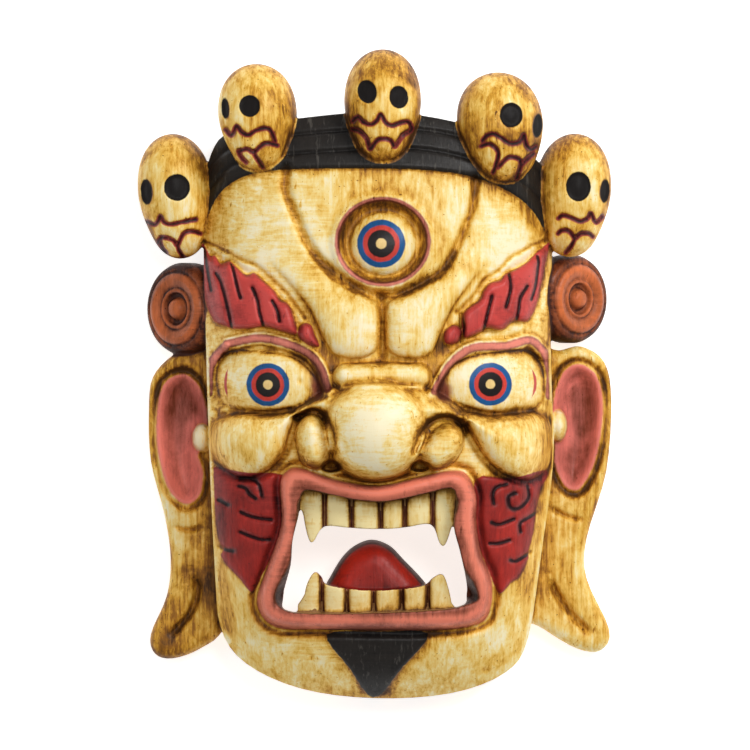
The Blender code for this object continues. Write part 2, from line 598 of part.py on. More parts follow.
def finish(mask, part, tools):
    """The back cut flat, and the mask centred over the origin."""
    shape = bmesh.new()
    bmesh.ops.create_cube(shape, size=1.0)
    bmesh.ops.translate(shape, verts=shape.verts, vec=(0, 0, -0.5))
    bench = from_bmesh(shape, "bench", tools)
    mask = combine(mask, bench, "DIFFERENCE", part)
    bpy.data.objects.remove(bench)
    corners = np.array([vertex.co[:] for vertex in mask.data.vertices])
    middle = (corners.min(axis=0) + corners.max(axis=0)) / 2
    mask.data.transform(Matrix.Translation((-middle[0], -middle[1], 0)))
    mask.name = "mask"
    mask.data.materials.clear()
    mask.data.materials.append(wood())


def main():
    for thing in list(bpy.data.objects):
        bpy.data.objects.remove(thing)
    part = bpy.data.collections.new("tibetan_cham_mask")
    tools = bpy.data.collections.new("cutters")
    for collection in (part, tools):
        bpy.context.scene.collection.children.link(collection)
    finish(fuse(carve(part, tools), part), part, tools)


main()
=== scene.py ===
import json
import math

import bmesh
import bpy
import numpy as np
from mathutils import Euler, Matrix, Vector

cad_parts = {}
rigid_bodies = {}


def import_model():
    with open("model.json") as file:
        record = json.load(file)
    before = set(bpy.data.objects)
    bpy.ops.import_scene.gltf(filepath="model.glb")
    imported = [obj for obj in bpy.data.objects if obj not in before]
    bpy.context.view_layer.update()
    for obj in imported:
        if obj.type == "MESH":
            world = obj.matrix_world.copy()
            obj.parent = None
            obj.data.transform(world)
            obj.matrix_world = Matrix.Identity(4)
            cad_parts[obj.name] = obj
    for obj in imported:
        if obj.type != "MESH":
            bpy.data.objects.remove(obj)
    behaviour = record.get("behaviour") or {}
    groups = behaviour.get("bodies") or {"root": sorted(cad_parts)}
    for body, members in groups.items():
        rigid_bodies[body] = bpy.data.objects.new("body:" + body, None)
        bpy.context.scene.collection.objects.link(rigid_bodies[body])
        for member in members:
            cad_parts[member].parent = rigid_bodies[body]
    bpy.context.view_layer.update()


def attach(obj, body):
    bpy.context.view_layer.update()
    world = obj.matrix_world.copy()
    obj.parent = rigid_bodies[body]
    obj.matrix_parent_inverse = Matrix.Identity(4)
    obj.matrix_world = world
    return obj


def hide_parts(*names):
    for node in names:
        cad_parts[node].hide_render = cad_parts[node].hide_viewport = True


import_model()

# Driving dimensions, in metres
MASK_HEIGHT = 0.400
WALL = 0.012
GRID_STEP = 0.0008
VOXEL = 0.0008
TRIANGLES = 192000

# The layout is drawn on a picture of the front, with y down. This gives its scale.
MM = 0.001
TOP_PX, BOTTOM_PX = 48, 702
CENTRE_PX = (375, 375)
PX = MASK_HEIGHT / MM / (BOTTOM_PX - TOP_PX)

# Heights above the back rim and half sizes of the plain block, in millimetres
DOME_HEIGHT = 92
DOME_HALF_WIDTH = 109
DOME_HALF_LENGTH = 206
CHIN_TAPER = 9
HOLLOW_HEIGHT = 82
NOSE_TIP = 131
EAR_HEIGHT = 22
EAR_BACK = 7
TEETH_HEIGHTS = {"upper": (64, 86), "lower": (58, 84)}
TONGUE_HEIGHTS = (46, 50)

# Outlines and lines of the forehead, as places in the picture
FACE = [(202, 245), (204, 320), (207, 430), (213, 564), (219, 628), (244, 664), (300, 690), (373, 700),
    (450, 695), (505, 674), (528, 640), (542, 551), (554, 460), (552, 380), (551, 300), (554, 205),
    (548, 172), (512, 142), (455, 122), (383, 112), (300, 118), (232, 130), (210, 152), (202, 195)]
BAND_EDGE = [(196, 262), (207, 215), (225, 187), (262, 172), (340, 169), (430, 171), (484, 181), (525, 203),
    (545, 232), (556, 262)]
BAND_TOP = [(556, 60), (196, 60)]
BAND_GROOVES = [
    [(200, 215), (212, 184), (245, 160), (345, 151), (415, 149), (475, 161), (530, 188), (556, 225)],
    [(200, 185), (215, 158), (250, 141), (345, 131), (420, 130), (478, 142), (530, 163), (556, 195)]]
THIRD_EYE_GROOVE = [(286, 168), (285, 190), (294, 215), (310, 248), (335, 273), (381, 297), (428, 280),
    (450, 258), (470, 212), (475, 180)]
THIRD_SOCKET = (336, 199, 428, 285)
THIRD_BALL = (349, 212, 416, 276)
FROWN_GROOVE = [(381, 287), (382, 325), (382, 366)]
FROWN_LOBES = [
    [(296, 236), (322, 270), (345, 288), (376, 303), (380, 332), (373, 353), (351, 359), (333, 353),
     (321, 335), (308, 308), (288, 282), (270, 258)],
    [(466, 236), (440, 270), (415, 288), (387, 303), (384, 332), (390, 353), (414, 359), (431, 352),
     (440, 333), (452, 308), (470, 282), (486, 258)]]
LOBE_START_PX, LOBE_FULL_PX = 240, 325

# Outlines and lines of the brows and eyes
BROWS = [
    [(200, 243), (209, 255), (214, 255), (220, 263), (229, 261), (237, 268), (246, 275), (254, 273),
     (262, 280), (270, 287), (275, 292), (280, 300), (288, 304), (293, 315), (296, 334), (280, 331),
     (265, 327), (245, 329), (233, 329), (224, 326), (213, 321), (205, 305), (200, 285)],
    [(550, 242), (541, 248), (536, 252), (525, 263), (511, 271), (503, 275), (499, 280), (489, 283),
     (482, 291), (478, 300), (463, 312), (461, 326), (464, 338), (478, 333), (487, 328), (496, 330),
     (503, 329), (513, 321), (527, 321), (536, 306), (541, 286), (546, 262)]]
BROW_CURLS = [
    [(298, 337), (299, 327), (305, 323), (311, 326), (315, 336), (319, 346), (310, 346)],
    [(443, 341), (444, 331), (452, 325), (459, 328), (461, 335), (457, 342), (448, 345)]]
BROW_GROOVES = [
    [(203, 247), (205, 262), (208, 280), (210, 290)],
    [(215, 273), (220, 282), (225, 300), (231, 327)],
    [(231, 263), (234, 275), (237, 288), (240, 298)],
    [(252, 288), (257, 300), (259, 312), (263, 326)],
    [(272, 301), (277, 311), (279, 321)],
    [(537, 256), (538, 264), (535, 286), (531, 299)],
    [(508, 274), (510, 286), (508, 297), (505, 307)],
    [(527, 286), (520, 297), (518, 308), (516, 319)],
    [(491, 296), (488, 308), (485, 320), (483, 330)],
    [(460, 314), (463, 328), (460, 340)]]
SOCKETS = [
    [(206, 372), (226, 341), (265, 332), (308, 346), (330, 392), (300, 414), (262, 418), (212, 412)],
    [(430, 396), (452, 357), (488, 340), (532, 333), (550, 368), (546, 414), (495, 420), (450, 408)]]
EYES = [
    [(215, 388), (222, 353), (262, 351), (300, 361), (322, 392), (300, 405), (265, 411), (228, 408)],
    [(436, 394), (455, 362), (500, 351), (533, 352), (545, 380), (535, 411), (485, 411), (455, 402)]]
EYEBALLS = [(209, 343, 326, 422), (432, 343, 549, 422)]
UPPER_LIDS = [
    [(226, 344), (262, 338), (300, 349), (318, 364), (327, 388)],
    [(434, 391), (450, 364), (472, 348), (505, 346), (530, 340), (545, 353)]]
OUTER_LIDS = [[(224, 347), (209, 365), (207, 392)], [(545, 353), (551, 372), (550, 395)]]
LOWER_LIDS = [
    [(222, 413), (262, 417), (300, 410), (326, 396)],
    [(440, 400), (462, 414), (495, 419), (535, 416)]]

# Outlines and lines of the nose and cheeks
BRIDGE = [(345, 376), (382, 375), (418, 376)]
NOSE_BALL = (325, 381, 425, 479)
NOSE_ROUND_PX, NOSE_FLARE_PX = 440, 400
NOSE_ROOT = [(334, 387), (378, 383), (423, 387), (448, 399), (466, 414), (462, 426), (440, 426), (424, 442),
    (414, 462), (345, 464), (331, 442), (322, 418), (304, 414), (288, 416), (310, 399)]
WINGS = [
    [(295, 436), (300, 420), (312, 414), (324, 422), (331, 441), (329, 459), (317, 469), (302, 462)],
    [(415, 454), (421, 439), (434, 426), (449, 421), (461, 430), (462, 446), (453, 461), (434, 470)]]
WING_CREASES = [
    [(298, 418), (311, 410), (325, 417), (333, 434), (333, 452)],
    [(414, 450), (421, 431), (436, 419), (453, 419), (463, 432)]]
NOSTRILS = [(320, 460, 342, 472), (408, 460, 430, 471)]
CHEEKS = [
    [(206, 436), (214, 421), (240, 414), (270, 416), (292, 414), (288, 434), (281, 456), (263, 472),
     (240, 476), (218, 464), (207, 450)],
    [(462, 413), (490, 417), (530, 413), (552, 424), (557, 446), (548, 468), (528, 480), (505, 474),
     (486, 458), (471, 434)]]

# Outlines and lines of the mouth
LIPS = [(280, 484), (286, 471), (300, 467.5), (335, 479), (378, 485.5), (425, 475), (450, 470), (466, 474),
    (475, 495), (475, 522), (480, 552), (491, 580), (489, 612), (475, 625), (430, 630), (322, 629),
    (274, 627), (256, 603), (266, 569), (281, 525)]
LIP_CREST = [(287, 486), (300, 475), (335, 485.5), (378, 492), (425, 482), (452, 478), (466, 492),
    (465, 520), (471, 556), (481, 585), (478, 609), (455, 618), (378, 619), (292, 618), (268, 605),
    (273, 575), (287, 535)]
LIP_INNER = [(302, 496), (340, 502), (379, 507), (420, 500), (456, 497), (453, 526), (461, 562), (476, 588),
    (468, 604), (381, 607), (302, 604), (281, 608), (274, 593), (289, 560), (296, 518)]
MOUTH = [(303, 490), (330, 493.5), (352, 498), (379, 500.5), (402, 497.5), (426, 492), (454, 489),
    (453, 525), (459, 550), (465, 577), (466, 594), (457, 607), (381, 612), (292, 612), (282.5, 597),
    (290, 565), (292, 540), (298, 515)]
TEETH = {
    "upper": [(301, 484), (303, 515), (308, 538), (313, 541), (324, 526), (351, 527.5), (380, 528.5),
     (404, 527), (430, 524), (439, 543), (445, 543), (452, 520), (457, 484), (381, 480)],
    "lower": [(303, 622), (304, 594), (308, 580), (314.5, 572), (321, 577), (328, 585), (372, 590),
     (420, 586), (432, 578), (441, 574), (446, 582), (451, 603), (452, 622)]}
TOOTH_GAPS_PX = {"upper": [324, 351, 380, 404, 432], "lower": [321, 346, 373, 401, 427]}
TONGUE = [(324, 590), (330, 576), (341, 558), (354, 546), (371, 540), (389, 546), (403, 560), (422, 580),
    (428, 592), (424, 616), (328, 616)]

# Outlines and lines of the beard
FLAMES = [
    [(209, 468), (211, 500), (214, 522), (218, 542), (222, 549), (220, 555), (224, 564), (238, 578),
     (246, 588), (253, 592), (262, 574), (277, 545), (282, 518), (280, 490), (282, 474), (245, 472)],
    [(548, 470), (541, 490), (537, 506), (534, 528), (529, 550), (527, 562), (519, 577), (510, 583),
     (499, 594), (490, 576), (478, 546), (475, 520), (475, 478), (510, 478)]]
FLAME_GROOVES = [
    [(240, 478), (250, 478), (258, 484), (261, 495)],
    [(238, 486), (245, 488), (249, 494), (255, 498)],
    [(240, 512), (250, 516), (260, 518), (271, 519)],
    [(240, 532), (250, 536), (260, 539), (269, 539)],
    [(218, 547), (225, 550), (232, 551)],
    [(217, 500), (227, 505)],
    [(493, 503), (492, 494), (496, 487), (506, 484)],
    [(515, 493), (508, 497), (510, 507), (519, 508), (528, 498), (527, 486)],
    [(491, 522), (499, 524), (513, 519)],
    [(520, 532), (520, 523), (528, 518), (536, 513)],
    [(489, 543), (498, 543), (509, 540)],
    [(510, 560), (516, 561), (530, 553)]]
GOATEE = [(325.7, 634), (376, 631), (427.7, 633), (402, 668), (373, 700), (348, 668)]

# Outlines and lines of the ears
EARS = {
    "left": [(170, 355), (150, 377), (146, 410), (148, 462), (162, 517), (168, 560), (164, 598), (148, 636),
     (152, 656), (170, 661), (198, 651), (222, 628), (226, 560), (222, 420), (218, 350), (192, 348)],
    "right": [(560, 350), (583, 346), (606, 362), (613, 400), (608, 472), (588, 540), (588, 580),
     (611, 632), (602, 653), (578, 651), (544, 631), (522, 612), (528, 540), (536, 420), (536, 350)]}
SHELLS = [
    [(182, 374), (163, 382), (155, 406), (154, 440), (160, 474), (170, 496), (185, 505), (198, 495),
     (201, 472), (196, 455), (203, 438), (205, 415), (198, 388)],
    [(582, 364), (598, 376), (604, 402), (602, 436), (594, 468), (580, 490), (566, 487), (556, 466),
     (556, 446), (552, 425), (556, 392), (566, 370)]]
EAR_KNOBS = [(190, 424, 210, 452), (550, 410, 568, 442)]
LOBE_GROOVES = [
    [(189, 575), (195, 588), (193, 603), (186, 617), (177, 628), (165, 640)],
    [(551, 577), (555, 590), (563, 604), (573, 617), (583, 627), (594, 638)]]
EAR_CREASES = [
    [(169, 525), (176, 529), (183, 531), (193, 530), (202, 526)],
    [(550, 505), (557, 512), (567, 517), (577, 520), (587, 519)]]

# Ear discs: place in the picture, height, radius and outward turn. The profile is radius and height.
DISCS = {"left": ((177, 308), 24, 28.5, -44), "right": ((577, 298), 24, 27.3, 44)}
DISC_RADIUS = 28.5
DISC_PROFILE = [(0, 6.2), (4.2, 5.6), (5.8, 3.8), (6.8, 0.8), (9.2, 0.8), (10.4, 3.8), (11.8, 4.4),
    (12.9, 2.6), (14.6, 4.2), (18.5, 5.6), (21.6, 4.4), (22.8, 1.8), (24.2, 3.2), (26.6, 2.0),
    (DISC_RADIUS, -2.0), (DISC_RADIUS, -12.0), (26.5, -14.0), (0, -14.0)]

# Skulls: place in the picture, height, half width and half length, then pitch, outward turn and lean
SKULLS = [
    ((174.5, 195), 40, 23.0, 38.5, (0, -20, 6)),
    ((257, 117), 70, 23.5, 33.0, (-16, -38, 13)),
    ((382, 106), 78, 23.5, 35.0, (-14, 0, 0)),
    ((500, 127), 70, 27.0, 34.0, (-16, 36, -2)),
    ((573, 194), 40, 23.0, 38.0, (0, 30, -4))]
SKULL_DEPTH = 25.0

# The marks on each skull, as places in the picture: eyes with half sizes and lean, then carved mouth lines
SKULL_EYES = [
    [((145, 191), (6, 13), 4), ((176, 187), (13, 13.5), 0)],
    [((225, 109), (4, 11), 4), ((249.5, 107), (10.5, 11), 0)],
    [((366.5, 93), (9.5, 12), 14), ((398, 98.5), (9.5, 11.5), 6)],
    [((510, 116), (11.5, 12.5), 0), ((537, 126), (5, 12), -6)],
    [((578, 186), (12.5, 15), 0), ((605, 190), (5, 12), -4)]]
SKULL_LINES = [
    [
        [(145, 221), (153, 224), (157, 220), (159, 216), (163, 222), (170, 224), (180, 222), (195, 219)],
        [(156, 242), (158, 238), (163, 237), (172, 240), (176, 245), (182, 234), (190, 231), (199, 233)],
        [(176, 245), (178, 251), (183, 258)],
        [(158, 238), (160, 247), (164, 252)]],
    [
        [(225, 130), (231, 136), (236, 127), (241, 133), (248, 136), (255, 132), (265, 129), (271, 132),
         (275, 142)],
        [(238, 152), (247, 150), (253, 153), (262, 146), (268, 144), (277, 146)],
        [(253, 153), (257, 160), (262, 167)],
        [(238, 152), (241, 158), (246, 163)]],
    [
        [(352, 122), (357, 118), (362, 123), (370, 126), (376, 122), (380, 116), (385, 124), (392, 127),
         (400, 124), (408, 123), (411, 130), (403, 136)],
        [(352, 130), (358, 132), (366, 140), (369, 150), (376, 142), (382, 140), (390, 142), (394, 148),
         (398, 143), (402, 137)]],
    [
        [(481, 142), (485, 137), (492, 135), (500, 139), (508, 144), (516, 144), (521, 140), (523, 136),
         (525, 145), (530, 150), (535, 147)],
        [(480, 147), (487, 145), (493, 148), (497, 155), (494, 168), (492, 173)],
        [(497, 168), (500, 165), (505, 160), (510, 158), (518, 160), (520, 166), (516, 178)],
        [(521, 165), (528, 158), (533, 154)]],
    [
        [(558, 218), (563, 215), (572, 218), (580, 221), (588, 218), (591, 213), (596, 222), (603, 216)],
        [(558, 233), (562, 230), (569, 231), (575, 238), (580, 234), (588, 233), (593, 236)],
        [(575, 238), (571, 246), (566, 252)]]]

# Finer carving and old damage, as places in the picture. A knot has its size in millimetres.
BROW_LEDGES = [
    [(203, 240), (218, 247), (238, 258), (256, 266), (272, 280), (288, 296), (304, 318)],
    [(547, 238), (530, 246), (512, 256), (497, 271), (483, 280), (473, 295), (456, 312)]]
LID_FOLDS = [
    [(205, 400), (216, 411), (240, 415)],
    [(450, 405), (465, 415), (480, 421), (497, 418)],
    [(300, 405), (320, 398), (333, 392)]]
LIP_CRACKS = [
    [(337, 479), (336, 484), (338, 489)],
    [(428, 473), (427, 479), (428, 484)],
    [(319, 612), (320, 620), (319, 629)]]
KNOTS = [((485, 671), 1.5), ((311, 657), 1.2), ((299, 381), 1.3), ((199, 147), 1.4), ((194, 434), 0.9)]
# The line under the lower lip, along which shade is painted
LIP_RIM = [(268, 629), (322, 632), (378, 631), (430, 632), (477, 629)]

# A height well under any surface, for what a form leaves out
NOTHING = -60.0

# Heights over every surface for the cutters, and the gap below which two points are one, in metres
OUTLINE_TOP = 200
MOUTH_TOP = 150
TOUCH = 0.00001

# Raised areas of the skin: outlines, width of the rounded edge, height
RAISED = [(BROWS, 4.5, 7.5), (BROW_CURLS, 4.0, 7.0), ([GOATEE], 1.5, 1.4), (FLAMES, 3.0, 2.2)]

# Cuts in the skin: paths, width, depth. Tapered cuts also have the run over which they start and end.
CUTS = [
    (BAND_GROOVES, 1.1, 2.2),
    ([THIRD_EYE_GROOVE], 2.8, 4.2),
    (BROW_GROOVES, 1.2, 3.2),
    (FLAME_GROOVES, 1.3, 2.6)]
FINE_CUTS = [(BROW_LEDGES, 1.3, 1.5), (LID_FOLDS, 1.2, 1.6), (LIP_CRACKS, 0.6, 0.9)]
FROWN_CUT = (2.6, 4.4, 9.0)
EAR_CUTS = [(LOBE_GROOVES, 2.2, 5.5, 9.0), (EAR_CREASES, 1.5, 3.4, 7.0)]

# Eyelid rolls: width and height of the upper, outer and lower lid
LID_SIZES = [(4.6, 6.0), (3.6, 3.5), (3.0, 2.2)]

# Irises with their radii, tear ducts, and red arcs with their radii and sides, in the picture
IRISES = [((267.5, 384.5), 21.5), ((489.5, 384), 21.5), ((380.5, 244), 24)]
TEAR_DUCTS = [(322, 386), (438, 392)]
EYE_ARCS = [((269, 383), 44.3, -1), ((505, 383), 30, 1)]

# The rings of an iris from the rim inwards: share of its radius, light and deep colour
IRIS_RINGS = [
    (1.0, (34, 92, 150), (18, 38, 58)),
    (0.76, (214, 70, 58), (112, 32, 32)),
    (0.57, (34, 29, 28), (18, 16, 16)),
    (0.22, (240, 208, 138), (180, 130, 60))]

# The blank for the hollow, and the rows of the picture between which teeth are parted
HOLLOW_BOX = (150, 80, 605, 712)
TOOTH_ROWS_PX = {"upper": (545, 486), "lower": (625, 570)}

# Paint that darkens with a share from 0 to 1, as a screen shows it. The share carries painted shade as well
# as glaze and wear.
IVORY = [(0.0, (255, 242, 202)), (0.2, (252, 226, 152)), (0.4, (242, 198, 98)), (0.58, (214, 156, 52)),
    (0.76, (154, 100, 30)), (1.0, (76, 46, 18))]
TOOTH_IVORY = [(0.0, (252, 232, 170)), (0.3, (242, 206, 122)), (0.6, (200, 150, 62)), (1.0, (100, 62, 24))]
BARE_WOOD = [(0.3, (122, 84, 48)), (0.75, (176, 132, 84))]

# Rounds of smoothing that show fine, middle, wide and broad hollows
CAVITY_ROUNDS = (3, 14, 60, 260)

# Paint: a value far outside an area, its margin round an ear disc, and its reach on a skull
NOWHERE = -9.0
DISC_MARGIN = 1.2
SKULL_SHARE = 1.05

# Lights: place, size, power. The camera stands off the plane at its lift, where the picture's scale holds.
LIGHTS = {
    "key": ((1.25, 1.1, 1.55), 0.7, 25),
    "fill": ((-1.3, 0.2, 1.8), 1.2, 6),
    "overhead": ((0.45, 0.65, 2.6), 0.7, 20)}
LIGHT_TARGET = Vector((0, 0, 0.05))
CAMERA_DISTANCE = 5.0
CAMERA_LIFT = 0.07
PICTURE_PX = 750
WHITE = (1, 1, 1, 1)
FLOOR_GREY = (0.93, 0.93, 0.92, 1)


def x_at(column):
    """Millimetres right of the middle of the mask, for a column of the picture."""
    return (column - CENTRE_PX[0]) * PX


def y_at(row):
    """Millimetres above the middle of the mask, for a row of the picture."""
    return (CENTRE_PX[1] - row) * PX


def at(point):
    """Millimetres from the middle of the mask, y up, for a place in the picture."""
    return x_at(point[0]), y_at(point[1])


def smooth(points, closed=True, steps=4):
    """A smooth line in millimetres through places in the picture."""
    knots = [np.array(at(point)) for point in points]
    ring = knots[-1:] + knots + knots[:2] if closed else knots[:1] + knots + knots[-1:]
    line = []
    for a, b, c, d in zip(ring, ring[1:], ring[2:], ring[3:]):
        for t in np.arange(steps) / steps:
            bend = (2 * a - 5 * b + 4 * c - d) * t + (3 * b - a - 3 * c + d) * t * t
            line.append(b + ((c - a) + bend) * t / 2)
    return np.array(line if closed else line + knots[-1:])


def ramp(value, low, high):
    """0 below low, 1 above high, and a smooth step between them."""
    t = np.clip((value - low) / (high - low), 0, 1)
    return t * t * (3 - 2 * t)


def bell(value, width):
    """1 at nothing, falling smoothly to 0 on both sides."""
    return np.exp(-(value / width) ** 2)


def reach(x, y, line, closed, limit=14.0):
    """Signed distance to a line, positive inside a closed one. It stops at the limit."""
    low, high = line.min(axis=0) - limit, line.max(axis=0) + limit
    near = (x > low[0]) & (x < high[0]) & (y > low[1]) & (y < high[1])
    near_x, near_y = x[near], y[near]
    best = np.full(near_x.shape, limit ** 2)
    within = np.zeros(near_x.shape, bool)
    ends = np.roll(line, -1, axis=0) if closed else line[1:]
    for (x0, y0), (x1, y1) in zip(line, ends):
        dx, dy = x1 - x0, y1 - y0
        t = np.clip(((near_x - x0) * dx + (near_y - y0) * dy) / (dx * dx + dy * dy), 0, 1)
        best = np.minimum(best, (near_x - x0 - t * dx) ** 2 + (near_y - y0 - t * dy) ** 2)
        if closed and y0 != y1:
            within ^= ((y0 > near_y) != (y1 > near_y)) & (near_x < x0 + (near_y - y0) * dx / dy)
    distance = np.full(x.shape, -limit)
    distance[near] = np.where(within, 1, -1) * np.sqrt(best)
    return distance


def inside(x, y, outline, limit=14.0):
    """Distance to a smooth closed outline, positive inside it."""
    return reach(x, y, smooth(outline), True, limit)


def beside(x, y, path, limit=14.0):
    """Distance to a smooth open path, negative on both sides."""
    return reach(x, y, smooth(path, closed=False), False, limit)


def in_band(x, y):
    """Distance inside the head band, which has a smooth lower edge and runs past the crown."""
    corners = [at(corner) for corner in BAND_TOP]
    return reach(x, y, np.vstack([smooth(BAND_EDGE, closed=False), corners]), True)


def groove(x, y, path, width, depth):
    """A rounded V cut along an open path."""
    return -depth * bell(beside(x, y, path, 3 * width), width)


def grooves(x, y, cuts):
    """The rounded V cuts of a table, together."""
    return sum(groove(x, y, path, width, depth) for paths, width, depth in cuts for path in paths)


def tapered(x, y, path, width, depth, run):
    """A rounded V cut that starts and ends at nothing, over the run at each end."""
    (x0, y0), (x1, y1) = at(path[0]), at(path[-1])
    from_end = np.minimum(np.hypot(x - x0, y - y0), np.hypot(x - x1, y - y1))
    return groove(x, y, path, width, depth) * ramp(from_end, 0.0, run)


def ridge(x, y, path, width, height):
    """A half-round roll along an open path."""
    return height * np.sqrt(np.clip(1 - (beside(x, y, path, 2 * width) / width) ** 2, 0, 1))


def radius(x, y, box):
    """0 at the middle of the ellipse that fills a box in the picture, 1 on its edge."""
    (x0, y0), (x1, y1) = at(box[:2]), at(box[2:])
    return np.hypot((2 * x - x0 - x1) / (x1 - x0), (2 * y - y0 - y1) / (y1 - y0))


def ball(x, y, box, height):
    """Half an ellipsoid that fills a box in the picture."""
    return height * np.sqrt(np.clip(1 - radius(x, y, box) ** 2, 0, 1))


def pillow(distance, edge, height):
    """A raised area, rounded over the width of its edge."""
    t = np.clip(distance / edge, 0, 1)
    return height * np.sqrt(1 - (1 - t) ** 2)


def smooth_max(a, b, blend):
    """The higher of two heights, with a fillet between them."""
    share = np.clip(0.5 + 0.5 * (a - b) / blend, 0, 1)
    return b + (a - b) * share + blend * share * (1 - share)


def dome(x, y):
    """The plain front of the block before any carving."""
    u = np.abs(x / (DOME_HALF_WIDTH - CHIN_TAPER * ramp(-y, 60, 190)))
    v = np.abs(y / DOME_HALF_LENGTH)
    return DOME_HEIGHT * np.clip(1 - v ** 3.2, 0, 1) ** 0.4 * np.clip(1 - u ** 2.6, 0, 1) ** 0.32


def skin(x, y):
    """The block with its head band, frown, bridge of the nose, brows in their moats, beard and tuft."""
    z = dome(x, y) + pillow(in_band(x, y), 3.0, 3.0) + ridge(x, y, BRIDGE, 7.8, 12.0)
    swell = ramp(-y, -y_at(LOBE_START_PX), -y_at(LOBE_FULL_PX))
    for lobe in FROWN_LOBES:
        z += pillow(inside(x, y, lobe), 14.0, 9.0) * swell
    for outlines, edge, height in RAISED:
        for outline in outlines:
            z += pillow(inside(x, y, outline), edge, height)
    for outline in BROWS:
        edge = inside(x, y, outline)
        z -= 2.0 * bell(edge, 3.0) * (edge < 0)
    return z + grooves(x, y, CUTS) + tapered(x, y, FROWN_GROOVE, *FROWN_CUT)


def eyes(x, y, z):
    """Eyeballs in their sockets with rolled lids, and the third eye in its cup."""
    plain = z.copy()
    for socket, eye, eyeball, *lids in zip(SOCKETS, EYES, EYEBALLS, UPPER_LIDS, OUTER_LIDS, LOWER_LIDS):
        opening = ramp(inside(x, y, eye), -0.6, 1.0)
        z = z - 4.5 * ramp(inside(x, y, socket), -4, 5)
        for lid, sizes in zip(lids, LID_SIZES):
            z = z + ridge(x, y, lid, *sizes)
        z = z * (1 - opening) + (plain + ball(x, y, eyeball, 12.5) - 10.5) * opening
    rim = radius(x, y, THIRD_SOCKET)
    opening = ramp(1 - radius(x, y, THIRD_BALL), -0.02, 0.03)
    cup = 2.4 * bell(rim - 1.04, 0.09) - 6.0 * ramp(1 - rim, 0.0, 0.24)
    return z + cup * (1 - opening) + (ball(x, y, THIRD_BALL, 9.0) - 6.0) * opening


def cheeks(x, y, base):
    """Two round cheeks over the corners of the mouth, with a crease round each."""
    z = base
    for outline in CHEEKS:
        edge = inside(x, y, outline, 22.0)
        z = smooth_max(z, base + pillow(edge, 19.0, 17.0) - 5 * ramp(-edge, 0.0, 4.0), 2.5)
        z -= 3.2 * bell(edge + 1.6, 2.2)
    return z


def lips(x, y, base):
    """Rolled lips round the open mouth, with a steep fall to the opening."""
    edge = inside(x, y, LIPS)
    crest = inside(x, y, LIP_CREST)
    roll = 9.0 * np.sqrt(np.clip(1 - (crest / np.where(crest > 0, 13.0, 6.0)) ** 2, 0, 1))
    fall = 16.0 * ramp(inside(x, y, LIP_INNER), -1.0, 5.0)
    return base - 5.0 * bell(edge + 1.5, 3.0) + roll * ramp(edge, -1.0, 1.0) - fall


def nose(x, y, base):
    """The ball of the nose on its broad root, two wings under their creases, and the nostrils."""
    rim = radius(x, y, NOSE_BALL)
    tip = ball(x, y, NOSE_BALL, 34.0) + NOSE_TIP - 34.0 + NOTHING * ramp(rim, 0.995, 1.2)
    root = base + pillow(inside(x, y, NOSE_ROOT, 28.0), 24.0, 21.0)
    z = smooth_max(tip, root, 15.0 + 13.0 * ramp(y, y_at(NOSE_ROUND_PX), y_at(NOSE_FLARE_PX)))
    for crease, wing in zip(WING_CREASES, WINGS):
        edge = inside(x, y, wing)
        z += groove(x, y, crease, 2.2, 8.0) * (1 - ramp(edge, 0.0, 1.5))
        z = smooth_max(z, DOME_HEIGHT - 4 + pillow(edge, 10.0, 21.0) + NOTHING * (edge < 0), 2.0)
    for box in NOSTRILS:
        z -= 10.0 * ramp(1.15 - radius(x, y, box), 0, 0.5)
    return z


def face_front(x, y):
    """Height of the carved face above the back rim."""
    return nose(x, y, lips(x, y, cheeks(x, y, eyes(x, y, skin(x, y)))))


def fine_front(x, y):
    """The carved face with its finer lines, folds, strokes and old cracks."""
    z = face_front(x, y) + grooves(x, y, FINE_CUTS)
    for place, size in KNOTS:
        cx, cy = at(place)
        z -= 1.4 * bell(np.hypot(x - cx, y - cy), size)
    strokes = np.sin(x * 2.3 + 0.6 * np.sin(y * 0.25)) * 0.28 + np.sin(x * 3.9 + 1.3) * 0.12
    return z + strokes * ramp(inside(x, y, GOATEE), 0.0, 1.0)


def hollow_front(x, y):
    """Height of the hollow behind the face, inside a wall of even thickness."""
    depth = inside(x, y, FACE, 70.0) - WALL / MM
    crown = np.minimum(pillow(depth, 42.0, HOLLOW_HEIGHT), dome(x, y) - 15)
    return np.where(depth > 0, crown - 1, -15)


def ear_front(x, y):
    """Height of the ears: rolled rim, hollow shell, knob, and a grooved lobe."""
    edge = np.maximum(inside(x, y, EARS["left"]), inside(x, y, EARS["right"]))
    z = EAR_HEIGHT + pillow(edge, 8.0, 7.0)
    for outline in SHELLS:
        shell = inside(x, y, outline)
        z -= 4.5 * bell(shell + 2.0, 2.4) + 10.0 * np.sin(np.pi / 2 * np.clip(shell / 13.0, 0, 1))
    for paths, *sizes in EAR_CUTS:
        for path in paths:
            z += tapered(x, y, path, *sizes)
    for box in EAR_KNOBS:
        knob = EAR_HEIGHT + 4 + ball(x, y, box, 11.0) + NOTHING * (radius(x, y, box) > 1)
        z = smooth_max(z, knob, 2.0)
    return z


def teeth_front(row):
    """The height function of one row of teeth, each round from side to side, with a cut between two."""
    cuts = [x_at(gap) for gap in TOOTH_GAPS_PX[row]]
    pitch = (cuts[-1] - cuts[0]) / (len(cuts) - 1)
    middles = [cuts[0] - pitch / 2] + [cut + pitch / 2 for cut in cuts]
    crown = TEETH_HEIGHTS[row][1]

    def front(x, y):
        z = crown + dome(x, y) - DOME_HEIGHT
        for cut in cuts:
            z = z - 5.0 * bell(x - cut, 1.3)
        for middle in middles:
            z = z + 2.0 * np.clip(1 - (2 * (x - middle) / pitch) ** 2, 0, 1)
        return z
    return front


